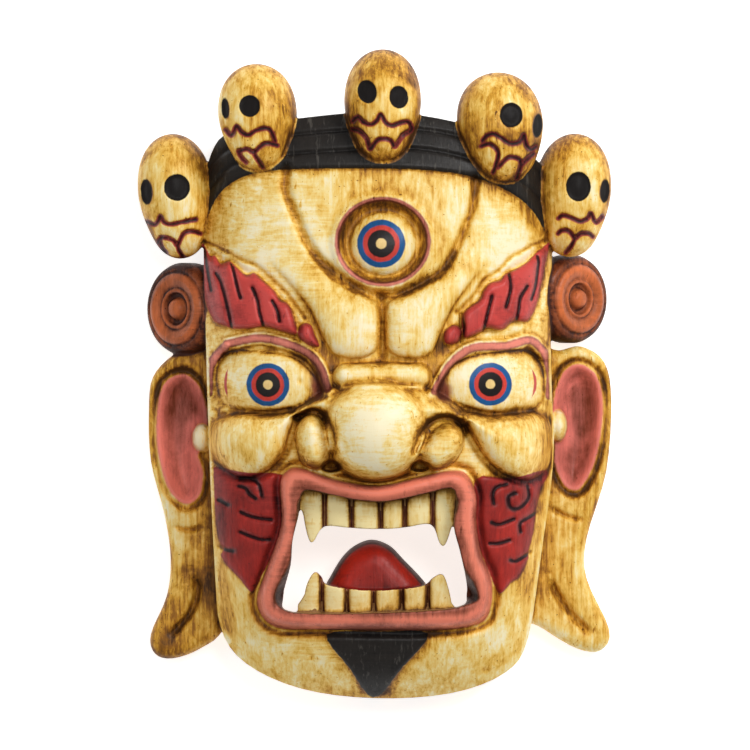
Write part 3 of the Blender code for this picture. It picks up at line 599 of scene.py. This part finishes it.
def tongue_front(x, y):
    """Height of the tongue, rounded at its sides and tip."""
    return TONGUE_HEIGHTS[1] + pillow(inside(x, y, TONGUE, 16.0), 15.0, 17.0)


def level(height):
    """The height function of a flat underside."""
    return lambda x, y: np.full(x.shape, float(height))


def adjust(thing, **settings):
    """The thing, with the settings given."""
    for key, value in settings.items():
        setattr(thing, key, value)
    return thing


def new_object(name, data, collection):
    """An object in the collection that holds the mesh or curve."""
    thing = bpy.data.objects.new(name, data)
    collection.objects.link(thing)
    return thing


def from_bmesh(shape, name, collection):
    """A mesh object with its faces pointing out, in place of the bmesh."""
    bmesh.ops.recalc_face_normals(shape, faces=shape.faces)
    mesh = bpy.data.meshes.new(name)
    shape.to_mesh(mesh)
    shape.free()
    return new_object(name, mesh, collection)


def evaluated(source, name, collection):
    """A plain mesh object in place of the source, with its modifiers and placing worked in."""
    bpy.context.view_layer.update()
    graph = bpy.context.evaluated_depsgraph_get()
    mesh = bpy.data.meshes.new_from_object(source.evaluated_get(graph), depsgraph=graph)
    mesh.transform(source.matrix_world)
    bpy.data.objects.remove(source)
    return new_object(name, mesh, collection)


def combine(body, tool, operation, collection):
    """The body after a Boolean with the tool, which stays for its next use."""
    boolean = body.modifiers.new("boolean", "BOOLEAN")
    adjust(boolean, operation=operation, solver="MANIFOLD", object=tool)
    return evaluated(body, body.name, collection)


def block(name, box, front, back, collection):
    """A closed block over a box in the picture, its two faces shaped by height functions."""
    (x0, y1), (x1, y0) = at(box[:2]), at(box[2:])
    shape = bmesh.new()
    columns, rows = (int(length * MM / GRID_STEP) for length in (x1 - x0, y1 - y0))
    bmesh.ops.create_grid(shape, x_segments=columns, y_segments=rows, size=0.5)
    copies = bmesh.ops.extrude_face_region(shape, geom=shape.faces[:])["geom"]
    upper = {item for item in copies if isinstance(item, bmesh.types.BMVert)}
    places = np.array([vertex.co[:2] for vertex in shape.verts])
    x = (x0 + x1) / 2 + places[:, 0] * (x1 - x0)
    y = (y0 + y1) / 2 + places[:, 1] * (y1 - y0)
    raised = np.array([vertex in upper for vertex in shape.verts])
    z = np.where(raised, front(x, y), back(x, y))
    for vertex, place in zip(shape.verts, np.stack([x, y, z], axis=1) * MM):
        vertex.co = place
    return from_bmesh(shape, name, collection)


def prism(name, outline, low, high, collection):
    """A closed solid with a smooth flat outline, between two heights."""
    curve = bpy.data.curves.new(name, "CURVE")
    adjust(curve, dimensions="2D", fill_mode="BOTH", extrude=(high - low) / 2 * MM)
    line = smooth(outline) * MM
    spline = curve.splines.new("POLY")
    spline.points.add(len(line) - 1)
    spline.use_cyclic_u = True
    for point, (x, y) in zip(spline.points, line):
        point.co = (x, y, 0, 1)
    drawn = new_object(name, curve, collection)
    drawn.location.z = (low + high) / 2 * MM
    flat = evaluated(drawn, name, collection)
    shape = bmesh.new()
    shape.from_mesh(flat.data)
    bpy.data.objects.remove(flat)
    bmesh.ops.remove_doubles(shape, verts=shape.verts, dist=TOUCH)
    return from_bmesh(shape, name, collection)


def cut_out(name, outline, front, back, collection):
    """A block with two shaped faces, cut to a smooth outline."""
    margin = 6
    points = np.array(outline)
    box = (*(points.min(axis=0) - margin), *(points.max(axis=0) + margin))
    plate = block(name, box, front, back, collection)
    cutter = prism(name + "_outline", outline, NOTHING, OUTLINE_TOP, collection)
    plate = combine(plate, cutter, "INTERSECT", collection)
    bpy.data.objects.remove(cutter)
    return plate


def turned(*degrees):
    """The matrix that turns a form about X, Y and Z."""
    return Euler([math.radians(angle) for angle in degrees]).to_matrix()


def ear_disc(name, place, height, size, turn, collection):
    """A ringed roundel on a thick edge, turned outwards."""
    scale = size / DISC_RADIUS
    profile = [(r * scale * MM, 0, z * MM) for r, z in reversed(DISC_PROFILE)]
    mesh = bpy.data.meshes.new(name)
    mesh.from_pydata(profile, [(i, i + 1) for i in range(len(profile) - 1)], [])
    disc = new_object(name, mesh, collection)
    screw = disc.modifiers.new("turned", "SCREW")
    adjust(screw, steps=64, render_steps=64, use_merge_vertices=True, merge_threshold=TOUCH)
    adjust(disc, location=Vector((*at(place), height)) * MM, rotation_euler=Euler((0, math.radians(turn), 0)))
    return evaluated(disc, name, collection)


def skull_width(v):
    """How wide a skull is against a plain egg: fuller at the crown and the jaw, and narrower below."""
    low, high = np.clip(-v, 0, 0.985), np.clip(v, 0, 0.985)
    full = np.sqrt((1 - low ** 3.2) / (1 - low ** 2) * (1 - high ** 2.5) / (1 - high ** 2))
    return full * (1 - 0.18 * ramp(-v, -0.1, 0.75))


def eye_pit(x, y, place, half_sizes, lean):
    """Distance inside a leaning ellipse, positive within it."""
    (cx, cy), (rx, ry), turn = at(place), np.array(half_sizes) * PX, math.radians(lean)
    across = (x - cx) * math.cos(turn) + (y - cy) * math.sin(turn)
    along = (y - cy) * math.cos(turn) - (x - cx) * math.sin(turn)
    return (1 - np.hypot(across / rx, along / ry)) * min(rx, ry)


def skull(number, place, height, half_width, half_length, turns, collection):
    """A small skull: an egg narrowed to its jaw and turned outwards, with its own face."""
    shape = bmesh.new()
    bmesh.ops.create_uvsphere(shape, u_segments=160, v_segments=110, radius=1)
    sphere = np.array([vertex.co[:] for vertex in shape.verts])
    width = skull_width(sphere[:, 1])
    egg = sphere * [half_width, half_length, SKULL_DEPTH]
    egg[:, 0] *= width
    egg[:, 2] *= width
    turn = np.array(turned(*turns)).T
    egg, out = egg @ turn + [*at(place), height], sphere @ turn
    x, y, _ = egg.T
    depth = -grooves(x, y, [(SKULL_LINES[number], 1.1, 2.1)])
    for eye in SKULL_EYES[number]:
        depth += 1.6 * ramp(eye_pit(x, y, *eye), -0.3, 1.0)
    depth *= out[:, 2] > 0.05
    for vertex, point in zip(shape.verts, (egg - out * depth[:, None]) * MM):
        vertex.co = point
    return from_bmesh(shape, f"skull_{number + 1}", collection)


def carve(part, tools):
    """Every form of the mask, hollowed behind and open at the mouth."""
    hollow = block("hollow", HOLLOW_BOX, hollow_front, level(-20), tools)
    mouth = prism("mouth", MOUTH, NOTHING, MOUTH_TOP, tools)
    forms = [cut_out("face", FACE, fine_front, level(-4), part)]
    for side, outline in EARS.items():
        forms.append(cut_out(side + "_ear", outline, ear_front, level(EAR_BACK), part))
    for side, sizes in DISCS.items():
        forms.append(ear_disc(side + "_disc", *sizes, part))
    for number, sizes in enumerate(SKULLS):
        forms.append(skull(number, *sizes, part))
    forms = [combine(form, hollow, "DIFFERENCE", part) for form in forms]
    forms[0] = combine(forms[0], mouth, "DIFFERENCE", part)
    for row, outline in TEETH.items():
        forms.append(cut_out(row + "_teeth", outline, teeth_front(row), level(TEETH_HEIGHTS[row][0]), part))
    forms.append(cut_out("tongue", TONGUE, tongue_front, level(TONGUE_HEIGHTS[0]), part))
    return forms


def fuse(forms, part, tools):
    """All forms worked into one closed skin, cut flat at the back."""
    mask = forms[0]
    with bpy.context.temp_override(active_object=mask, selected_editable_objects=forms):
        bpy.ops.object.join()
    adjust(mask.modifiers.new("skin", "REMESH"), mode="VOXEL", voxel_size=VOXEL)
    adjust(mask.modifiers.new("soften", "SMOOTH"), factor=0.5, iterations=1)
    mask = evaluated(mask, "carved_mask", part)
    count = sum(len(face.vertices) - 2 for face in mask.data.polygons)
    mask.modifiers.new("fewer", "DECIMATE").ratio = TRIANGLES / count
    mask = evaluated(mask, "carved_mask", part)
    shape = bmesh.new()
    bmesh.ops.create_cube(shape, size=1.0)
    bmesh.ops.translate(shape, verts=shape.verts, vec=(0, 0, -0.5))
    bench = from_bmesh(shape, "bench", tools)
    return combine(mask, bench, "DIFFERENCE", part)


def neighbours(mesh):
    """The two ends of every edge, and how many edges meet at each vertex."""
    ends = np.empty(len(mesh.edges) * 2, int)
    mesh.edges.foreach_get("vertices", ends)
    ends = ends.reshape(-1, 2)
    return ends, np.bincount(ends.ravel(), minlength=len(mesh.vertices))


def cavity(places, normals, ends, degree, rounds):
    """How far each vertex lies under its smoothed surroundings, in millimetres, at several widths."""
    soft = places.copy()
    result = []
    done = 0
    for stop in rounds:
        for _ in range(stop - done):
            total = np.zeros_like(soft)
            for axis in range(3):
                total[:, axis] = (np.bincount(ends[:, 0], soft[ends[:, 1], axis], len(soft))
                                  + np.bincount(ends[:, 1], soft[ends[:, 0], axis], len(soft)))
            soft = 0.5 * soft + 0.5 * total / degree[:, None]
        done = stop
        result.append(((soft - places) * normals).sum(axis=1))
    return result


def in_disc(points, place, height, size, turn):
    """Distance inside an ear disc, positive within it."""
    local = (points - np.array([*at(place), height])) @ np.array(turned(0, turn, 0))
    return size + DISC_MARGIN - np.hypot(local[:, 0], local[:, 1])


def in_skull(points, place, height, half_width, half_length, turns):
    """Distance inside a skull, positive within it."""
    local = (points - np.array([*at(place), height])) @ np.array(turned(*turns))
    unit = local / [half_width, half_length, SKULL_DEPTH]
    width = skull_width(unit[:, 1])
    unit[:, 0] /= width
    unit[:, 2] /= width
    return (SKULL_SHARE - np.linalg.norm(unit, axis=1)) * half_width


def vertex_values(mesh, name):
    """Three numbers of every vertex."""
    values = np.empty(len(mesh.vertices) * 3)
    mesh.vertices.foreach_get(name, values)
    return values.reshape(-1, 3)


def paint(mask):
    """Stores where each colour lies on the mask, as signed distances in millimetres, and how dark the paint
    is, painted shade included.
    """
    mesh = mask.data
    points, normals = vertex_values(mesh, "co") / MM, vertex_values(mesh, "normal")
    x, y, z = points.T
    facing = normals[:, 2]
    nowhere = np.full(len(x), NOWHERE)

    def widest(outlines):
        return np.max([inside(x, y, outline) for outline in outlines], axis=0)

    def along(paths, width=0.0):
        return np.max([width - np.abs(beside(x, y, path)) for path in paths], axis=0)

    # Skulls, ear discs and the head band
    skulls = [in_skull(points, *sizes) for sizes in SKULLS]
    skull_area = np.max(skulls, axis=0)
    pit, line, skull_tops = nowhere, nowhere, np.zeros(len(x))
    for area, sizes, skull_eyes, paths in zip(skulls, SKULLS, SKULL_EYES, SKULL_LINES):
        place, half_length = sizes[0], sizes[3]
        skull_tops += (area > 0) * ramp((y - y_at(place[1])) / half_length, 0.35, 1.0)
        front = (area > 0) & (facing > -0.2) & (z > 20)
        for eye in skull_eyes:
            pit = np.where(front, np.maximum(pit, eye_pit(x, y, *eye)), pit)
        line = np.where(front, np.maximum(line, along(paths, 1.5)), line)
    from_disc = np.max([in_disc(points, *sizes) for sizes in DISCS.values()], axis=0)
    disc = np.where((np.abs(x) > 96) & (skull_area < 0), from_disc, NOWHERE)
    ring = DISC_RADIUS + DISC_MARGIN - from_disc
    band = np.minimum.reduce([in_band(x, y), -skull_area, -disc])

    # The mouth
    lip, lip_hole = inside(x, y, LIPS), inside(x, y, LIP_INNER)
    rows = {row: inside(x, y, outline) for row, outline in TEETH.items()}
    tooth = np.maximum(*(np.minimum(rows[row] + 0.5, teeth_front(row)(x, y) + 0.9 - z) for row in TEETH))
    tooth = np.minimum(tooth, np.where(y > y_at(560), inside(x, y, MOUTH) + 0.4, lip_hole + 4.0))
    gap = nowhere
    for row, (low, high) in TOOTH_ROWS_PX.items():
        within = (y > y_at(low)) & (y < y_at(high))
        for cut in TOOTH_GAPS_PX[row]:
            gap = np.where(within, np.maximum(gap, 1.5 - np.abs(x - x_at(cut))), gap)
    gap = np.minimum(gap, tooth)
    tongue = np.where(np.maximum(*rows.values()) > 0.1, NOWHERE, inside(x, y, TONGUE) + 1.0)

    # The eyes
    openings, cup, face = widest(EYES), radius(x, y, THIRD_SOCKET), inside(x, y, FACE, 30.0)
    lid = np.maximum(along(UPPER_LIDS, 2.6), along(OUTER_LIDS, 3.0))
    lid = np.maximum(np.where(openings > 0.9, NOWHERE, lid), (0.055 - np.abs(cup - 0.99)) * 27)
    lid = np.minimum(lid, face - 1.6)
    duct = nowhere
    for corner in TEAR_DUCTS:
        cx, cy = at(corner)
        duct = np.maximum(duct, np.minimum(7.5 - np.hypot(x - cx, (y - cy) * 0.8), openings + 1))

    # The ears, the beard, the brows and the bare back
    knobs = np.min([radius(x, y, box) for box in EAR_KNOBS], axis=0)
    shell = np.where((z < 60) & (face < 0.2), np.minimum(widest(SHELLS), (knobs - 1.02) * 6), NOWHERE)
    panel = np.minimum.reduce([widest(FLAMES), z - 26, face - 2.2])
    brow = widest(BROWS)
    hair = np.minimum(np.maximum(brow, widest(BROW_CURLS)), z - 24)
    strands = along(BROW_GROOVES + FLAME_GROOVES, 1.0)
    back = np.minimum(face - 7, face_front(x, y) - 7 - z)
    for area, height in ((tooth, 62), (tongue, 48)):
        back = np.where(area > 0, np.minimum(back, height - z), back)
    back = np.where(np.abs(face) < 3, back, np.maximum(back, (-facing - 0.35) * 6))

    on_ear = (face < 0) & (skull_area < 0) & (disc < 0)
    over_eyes = y > y_at(322)
    wall = ramp(1 - cup, 0.0, 0.03) * ramp(radius(x, y, THIRD_BALL), 0.94, 1.02)
    dark = np.zeros(len(x))
    # Painted shade and highlight beside edges, and a few painted lines: strength, distance, where it is
    # strongest, width, and share
    for strength, distance, peak, width, share in (
            # Painted shade in the crevice round the eye openings, and the painted shadow of the upper lids on
            # the eyeballs
            (0.12, openings, 0, 2.5, 1),
            (0.34, np.maximum(openings, 0), 0, 2.2, (openings > 0) & (y > y_at(392))),
            # Painted shade in the groove round the third eye and in the frown
            (0.14, along([THIRD_EYE_GROOVE, FROWN_GROOVE]), 0, 6.0, 1),
            # Painted shade round the outside of the lips
            (0.16, lip, -3.5, 4.5, 1),
            (-0.34, lip, -0.8, 1.0, 1),
            # Painted shade under the lower lip
            (0.16, along([LIP_RIM]), 0, 5.0, 1),
            # Painted shade on the teeth beside their gaps, and the painted shadow of the lips on the teeth
            (0.26, gap, 0, 1.8, (tooth > 0) & (gap > -8)),
            (0.30, np.maximum(inside(x, y, MOUTH), 0), 0, 2.6, tooth > 0),
            (0.16, face, 4, 5, ramp(-y, 120, 150)),
            # A painted highlight along the worn side edges of the face
            (-0.34, face, 0.6, 1.1, (np.abs(x) > 90) & (y < y_at(330))),
            # Painted shade in the creases over the nose wings and round the cheeks
            (0.16, along(WING_CREASES), 0, 3.6, ramp(y, y_at(458), y_at(430))),
            (0.12, widest(CHEEKS), -1.5, 4.0, 1),
            # Painted shade in the crevice along the brow ledges
            (0.30, along(BROW_LEDGES), 0, 1.5, over_eyes),
            (-0.22, brow, -3.2, 2.0, over_eyes & (brow < 0)),
            # Painted shade in the groove round the ear shells
            (0.24, shell, -2.6, 2.0, on_ear),
            (0.25, inside(x, y, GOATEE), -1.5, 4.0, 1),
            # Painted shade in the grooves of the ear discs
            (0.42, ring, 8.2, 1.7, disc > 0),
            (0.30, ring, 12.9, 0.7, disc > 0),
            (0.45, ring, 22.8, 1.0, disc > 0),
            # Painted shade beside the carved lines on the skulls
            (0.25, np.minimum(line, 1.25), 1.25, 2.2, line > -8.9)):
        dark += strength * bell(distance - peak, width) * share
    # Darker or lighter all over an area, partly painted shade and light: strength and share
    for strength, share in (
            # Painted shade on the wall of the third eye's cup
            (0.06, wall),
            # Teeth lighter all over: painted light against the shade they sit in
            (-0.12, tooth > 0),
            (0.20, (lid > 0) & (x < 0) & (x > x_at(180)) & (y < y_at(330))),
            # Ears darker, the left ear more: ochre glaze and painted shade on the side away from the light
            (0.02, on_ear),
            (0.16, on_ear & (x < 0)),
            (-0.45, ramp(1.12 - knobs, 0.0, 0.1) * on_ear),
            # Painted shade on surfaces turned away from the camera, less on the ears
            (0.34, ramp(1 - facing, 0.06, 0.8) * (1 - 0.75 * on_ear)),
            (0.12, skull_area > 0),
            # Tops of the outer skulls darker: ochre glaze and painted shade where they turn away
            (0.10, skull_tops * ramp(np.abs(x), 50, 110)),
            # Painted shade low on the side walls of the face
            (0.22, ramp(-z, -46, -16) * (face > -1) * (face < 6)),
            # Darker towards the lower left: glaze and painted shade on the side away from the light
            (0.16, ramp(-x, 10, 95) * ramp(-y, 10, 120)),
            (0.15, (ring > 23.4) & (disc > 0))):
        dark += strength * share

    # Darker in cuts and lighter on edges: a glaze held in the hollows and rubbed off the high spots, and
    # painted shade in the hollows; less so on the ears, side walls, third eye and by the nose
    fine, middle, wide, broad = cavity(points, normals, *neighbours(mesh), CAVITY_ROUNDS)
    cut = 0.30 * fine + 0.13 * middle + 0.24 * np.tanh(wide / 3.0) + 0.08 * np.tanh(broad / 3.0)
    cut = np.where(cut < 0, 0.20 * np.tanh(cut / 0.20), 0.42 * np.tanh(cut / 0.42))
    cut = np.where(on_ear, np.minimum(0.6 * cut, 0.16), cut)
    cut = np.where(face > 0, cut, np.minimum(cut, 0.2))
    cut = np.where((wall > 0.01) & (cup < 1), np.minimum(cut, 0.16), cut)
    by_nose = bell(np.minimum(widest(WINGS), 0), 4.0) * ramp(-y, -y_at(425), -y_at(440))
    cut = np.where(cut > 0, cut * (1 - 0.6 * by_nose), cut)

    upright = 1.0 * on_ear + (skull_area > 0) + ramp(widest(CHEEKS), -2, 1) + (z < 62) * (y < -120)
    areas = dict(
        panel=panel, brow=hair, lip=lip, crest=inside(x, y, LIP_CREST), mouth=lip_hole - 0.6, tooth=tooth,
        gap=gap, tongue=tongue, lid=lid, duct=duct, pit=pit, line=line, disc=disc, shell=shell, back=back,
        cuts=np.where((panel > 0.3) | (hair > 0.3), strands, NOWHERE), way=np.clip(upright, 0, 1),
        black=np.maximum(band, inside(x, y, GOATEE) - 0.2), dark=dark + cut)
    for name, values in areas.items():
        layer = mesh.attributes.new("paint_" + name, "FLOAT", "POINT")
        layer.data.foreach_set("value", values.astype(np.float32))


def srgb(red, green, blue):
    """A linear colour from one as a screen shows it, 0 to 255."""
    def linear(value):
        value /= 255
        return value / 12.92 if value <= 0.04045 else ((value + 0.055) / 1.055) ** 2.4
    return (linear(red), linear(green), linear(blue), 1.0)


class Nodes:
    """Short calls to build one material's node tree."""

    def __init__(self, name, **plain):
        self.material = bpy.data.materials.new(name)
        self.material.use_nodes = True
        self.tree = self.material.node_tree
        self.shader = self.tree.nodes["Principled BSDF"]
        for key, value in plain.items():
            self.shader.inputs[key.replace("_", " ")].default_value = value

    def feed(self, socket, value):
        if isinstance(value, bpy.types.NodeSocket):
            self.tree.links.new(value, socket)
        else:
            socket.default_value = value

    def node(self, kind, inputs, **settings):
        made = adjust(self.tree.nodes.new(kind), **settings)
        for key, value in inputs.items():
            self.feed(made.inputs[key], value)
        return made

    def place(self):
        return self.node("ShaderNodeTexCoord", {}).outputs["Object"]

    def attribute(self, name):
        return self.node("ShaderNodeAttribute", {}, attribute_name="paint_" + name).outputs["Fac"]

    def math(self, operation, a, b=0.0, clamp=False):
        return self.node("ShaderNodeMath", {0: a, 1: b}, operation=operation, use_clamp=clamp).outputs[0]

    def add(self, a, b, clamp=False):
        return self.math("ADD", a, b, clamp)

    def times(self, a, b):
        return self.math("MULTIPLY", a, b)

    def off(self, value, middle, gain):
        return self.times(self.math("SUBTRACT", value, middle), gain)

    def noise(self, scale, stretch=(1, 1, 1), detail=3.0, rough=0.5, warp=0.0, turn=(0, 0, 0)):
        laid = self.node("ShaderNodeMapping", {"Scale": stretch, "Rotation": turn, "Vector": self.place()})
        return self.node("ShaderNodeTexNoise", {"Vector": laid.outputs[0], "Scale": scale, "Detail": detail,
                                                "Roughness": rough, "Distortion": warp}).outputs["Fac"]

    def between(self, value, low, high, to_low=0.0, to_high=1.0):
        inputs = dict(enumerate((value, low, high, to_low, to_high)))
        return self.node("ShaderNodeMapRange", inputs, interpolation_type="SMOOTHSTEP").outputs[0]

    def mix(self, share, a, b):
        return self.node("ShaderNodeMix", {0: share, 6: a, 7: b}, data_type="RGBA").outputs[2]

    def ramp(self, value, stops):
        made = self.node("ShaderNodeValToRGB", {0: value})
        elements = made.color_ramp.elements
        while len(elements) < len(stops):
            elements.new(0.5)
        for element, (place, colour) in zip(elements, stops):
            element.position = place
            element.color = srgb(*colour)
        return made.outputs[0]


def from_centre(n, centre, shift):
    """Millimetres across, up and straight to a place in the picture, on a mask moved by the shift."""
    middle = Vector((*at(centre), 0)) + shift / MM
    inputs = {0: n.place(), 1: (1 / MM, 1 / MM, 0), 2: (-middle.x, -middle.y, 0)}
    flat = n.node("ShaderNodeVectorMath", inputs, operation="MULTIPLY_ADD").outputs[0]
    parts = n.node("ShaderNodeSeparateXYZ", {0: flat})
    length = n.node("ShaderNodeVectorMath", {0: flat}, operation="LENGTH")
    return parts.outputs["X"], parts.outputs["Y"], length.outputs["Value"]


def iris_distance(n, shift):
    """Distance from the nearest painted pupil, 1 on the edge of its iris."""
    shares = [n.math("DIVIDE", from_centre(n, centre, shift)[2], size * PX) for centre, size in IRISES]
    return n.math("MINIMUM", n.math("MINIMUM", shares[0], shares[1]), shares[2])


def arc_distance(n, shift):
    """Distance inside the two thin red arcs on the eyeballs, tapered to their ends."""
    areas = []
    for centre, size, side in EYE_ARCS:
        across, up, straight = from_centre(n, centre, shift)
        away = n.math("ABSOLUTE", n.math("SUBTRACT", straight, size * PX))
        thick = n.between(n.math("ABSOLUTE", up), 12.0, 3.0, -0.3, 0.85)
        beyond = n.times(n.times(across, side), 0.2)
        areas.append(n.math("MINIMUM", n.math("SUBTRACT", thick, away), beyond))
    return n.math("MAXIMUM", areas[0], areas[1])


def painted_wood(shift):
    """Old paint over carved wood: ivory rubbed to ochre and brown in the cuts, with red, pink and black, and
    painted shade.
    """
    n = Nodes("painted_wood", Coat_Weight=0.03, Coat_Roughness=0.22, Specular_IOR_Level=0.26, IOR=1.4)
    clouds = n.noise(22, detail=5, rough=0.6, warp=0.5)
    patches = n.noise(9, detail=2)
    rubs = n.noise(75, stretch=(1, 0.6, 1), detail=4, rough=0.65, warp=0.8)
    down = n.noise(430, stretch=(1, 0.07, 0.5), detail=3, rough=0.65, warp=0.3, turn=(0, 0, 0.12))
    across = n.noise(430, stretch=(0.07, 1, 0.5), detail=3, rough=0.65, warp=0.3, turn=(0, 0, 0.75))
    grain = n.noise(1500, stretch=(1, 0.1, 1), detail=2, rough=0.6)
    specks = n.between(n.noise(620, detail=2, rough=0.5), 0.70, 0.75, 0.0, 0.4)
    scratches = n.noise(420, stretch=(1, 0.16, 1), detail=1, warp=0.6, turn=(0, 0, 0.3))
    scuffs = n.noise(160, stretch=(1, 0.35, 1), detail=5, rough=0.75, warp=1.0)
    way = n.math("MAXIMUM", n.between(patches, 0.46, 0.56), n.attribute("way"))
    brushed = n.add(n.times(down, way), n.times(across, n.math("SUBTRACT", 1.0, way)))

    # How dark the paint is, from its place, its cuts and its wear; its place and cuts carry painted shade
    dark = n.attribute("dark")
    for pattern, strength in ((clouds, 1.35), (brushed, 0.8), (grain, 0.15), (rubs, 0.7), (scuffs, 0.7),
                              (patches, 0.7)):
        dark = n.add(dark, n.off(pattern, 0.5, strength))
    dark = n.add(n.add(dark, specks), n.between(scratches, 0.72, 0.77, 0.0, 0.3))
    dark = n.add(dark, 0.35, clamp=True)
    wobble = n.off(n.noise(260, detail=2), 0.5, 1.5)

    def tone(light, deep, share=dark):
        return n.mix(share, srgb(*light), srgb(*deep))

    def coat(under, area, colour, soft, ragged):
        edge = n.add(area, n.times(wobble, ragged))
        return n.mix(n.between(edge, -soft, soft), under, colour)

    colour = n.ramp(dark, IVORY)
    iris = n.add(iris_distance(n, shift), n.times(wobble, 0.04))
    for outer, light, deep in IRIS_RINGS:
        colour = n.mix(n.between(iris, outer + 0.03, outer - 0.03), colour, tone(light, deep))
    colour = coat(colour, arc_distance(n, shift), tone((214, 84, 72), (140, 40, 36)), 0.3, 0.25)

    slope = n.between(n.attribute("crest"), -0.3, 4.2, 0.0, 0.72)
    lip_dark = n.add(n.off(dark, 0.26, 1.0), slope, clamp=True)
    # The lid paint is lighter on the crest of each lid roll and darker at its edges: a painted highlight and
    # painted shade
    lid_dark = n.add(dark, n.between(n.attribute("lid"), 2.2, 0.0, -0.15, 0.35), clamp=True)
    disc_dark = n.add(dark, n.between(n.attribute("disc"), 6.5, 4.5, 0.0, 0.42), clamp=True)
    bowl = n.times(n.between(n.attribute("shell"), 2.0, 8.0), n.between(clouds, 0.32, 0.6, 0.0, 0.55))
    shell_dark = n.add(n.off(dark, 0.42, 0.9), bowl, clamp=True)
    worn = n.add(n.between(scuffs, 0.62, 0.74, 0.0, 0.35), n.between(down, 0.56, 0.72, 0.0, 0.4), clamp=True)
    black = n.mix(worn, tone((44, 40, 37), (13, 12, 12)), srgb(104, 99, 92))
    # Coats of paint, first to last: area, how far inside it the coat starts, colour, soft and ragged edge
    for area, start, paint_colour, soft, ragged in (
            ("panel", 0, tone((186, 54, 46), (52, 15, 17)), 0.5, 0.8),
            ("brow", 0, tone((206, 74, 68), (64, 18, 22)), 0.5, 0.8),
            ("cuts", 0, tone((62, 18, 22), (30, 10, 12)), 0.5, 0.6),
            ("lip", 0, tone((240, 134, 108), (92, 42, 24), lip_dark), 0.5, 0.6),
            ("lid", 0, tone((240, 142, 122), (96, 42, 30), lid_dark), 0.7, 0.8),
            ("mouth", 0, tone((104, 46, 34), (34, 18, 15)), 0.5, 0.5),
            ("tooth", 0, n.ramp(dark, TOOTH_IVORY), 0.3, 0.3),
            ("gap", 0, tone((132, 50, 46), (54, 20, 18)), 0.6, 0.5),
            ("tongue", 0, tone((90, 28, 20), (40, 13, 11)), 0.3, 0.2),
            ("tongue", 3.6, tone((172, 38, 25), (88, 20, 15)), 0.5, 0.3),
            ("duct", 0, tone((176, 96, 66), (84, 40, 28)), 2.6, 2.0),
            ("line", 0, tone((206, 92, 76), (104, 34, 34)), 0.35, 0.5),
            ("line", 0.75, tone((110, 32, 34), (40, 14, 16)), 0.4, 0.5),
            ("disc", 0, tone((216, 116, 66), (62, 28, 18), disc_dark), 0.6, 0.5),
            ("shell", 0, tone((236, 130, 116), (116, 54, 36), shell_dark), 0.8, 1.0),
            ("black", 0, black, 0.4, 0.6),
            ("pit", 0, srgb(24, 20, 19), 0.3, 0.4)):
        colour = coat(colour, n.math("SUBTRACT", n.attribute(area), start), paint_colour, soft, ragged)

    # Bare wood on the rim and inside
    height = n.node("ShaderNodeSeparateXYZ", {0: n.place()}).outputs["Z"]
    inner = n.between(n.add(n.attribute("back"), n.times(wobble, 0.8)), -0.4, 0.4)
    unpainted = n.math("MAXIMUM", n.between(height, 0.0008, 0.0003), inner)
    colour = n.mix(unpainted, colour, n.ramp(n.add(n.times(grain, 0.6), n.times(clouds, 0.5)), BARE_WOOD))
    n.feed(n.shader.inputs["Base Color"], colour)

    rough = n.add(n.add(n.off(brushed, 0.4, 0.35), 0.32), n.between(n.attribute("pit"), -0.3, 0.3, 0.0, 0.35))
    n.feed(n.shader.inputs["Roughness"], n.add(rough, n.times(dark, 0.15), clamp=True))
    relief = n.add(n.add(n.times(brushed, 0.7), n.times(grain, 0.3)), n.times(scuffs, 0.5))
    relief = n.math("SUBTRACT", relief, specks)
    bump = n.node("ShaderNodeBump", {"Strength": 0.45, "Distance": 0.0006, "Height": relief})
    n.feed(n.shader.inputs["Normal"], bump.outputs[0])
    return n.material


def make_mask():
    """The carved and painted mask, in the place of the solid."""
    part = bpy.data.collections.new("tibetan_cham_mask")
    tools = bpy.data.collections.new("cutters")
    for collection in (part, tools):
        bpy.context.scene.collection.children.link(collection)
    mask = fuse(carve(part, tools), part, tools)
    for tool in list(tools.objects):
        bpy.data.objects.remove(tool)
    paint(mask)
    corners = np.array([vertex.co[:] for vertex in mask.data.vertices])
    middle = (corners.min(axis=0) + corners.max(axis=0)) / 2
    shift = Vector((-middle[0], -middle[1], 0))
    mask.data.transform(Matrix.Translation(shift))
    mask.data.materials.clear()
    mask.data.materials.append(painted_wood(shift))
    mask.data.shade_smooth()
    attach(mask, "root")
    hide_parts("mask")


def make_floor():
    """A plain pale floor, lit a little from itself so that it stays even."""
    shape = bmesh.new()
    bmesh.ops.create_grid(shape, x_segments=2, y_segments=2, size=6.0)
    floor = from_bmesh(shape, "floor", bpy.context.scene.collection)
    n = Nodes("floor", Base_Color=FLOOR_GREY, Roughness=0.9, Emission_Color=WHITE, Emission_Strength=0.74)
    floor.data.materials.append(n.material)


def light_and_camera():
    """Soft studio light from above, and a long lens straight over the face."""
    scene = bpy.context.scene
    for name, (place, size, power) in LIGHTS.items():
        lamp = adjust(bpy.data.lights.new(name, "AREA"), size=size, energy=power)
        light = adjust(new_object(name, lamp, scene.collection), location=place)
        light.rotation_euler = (LIGHT_TARGET - light.location).to_track_quat("-Z", "Y").to_euler()
    scene.world = bpy.data.worlds.new("studio")
    scene.world.use_nodes = True
    sky = scene.world.node_tree.nodes["Background"].inputs
    sky["Color"].default_value = WHITE
    sky["Strength"].default_value = 0.24
    scene.view_settings.view_transform = "Standard"
    lens = adjust(bpy.data.cameras.new("camera"), sensor_width=36, clip_end=50)
    lens.lens = lens.sensor_width * CAMERA_DISTANCE / (PICTURE_PX * PX * MM)
    camera = new_object("camera", lens, scene.collection)
    camera.location = (0, 0, CAMERA_DISTANCE + CAMERA_LIFT)
    bpy.context.scene.camera = camera


make_mask()
make_floor()
light_and_camera()
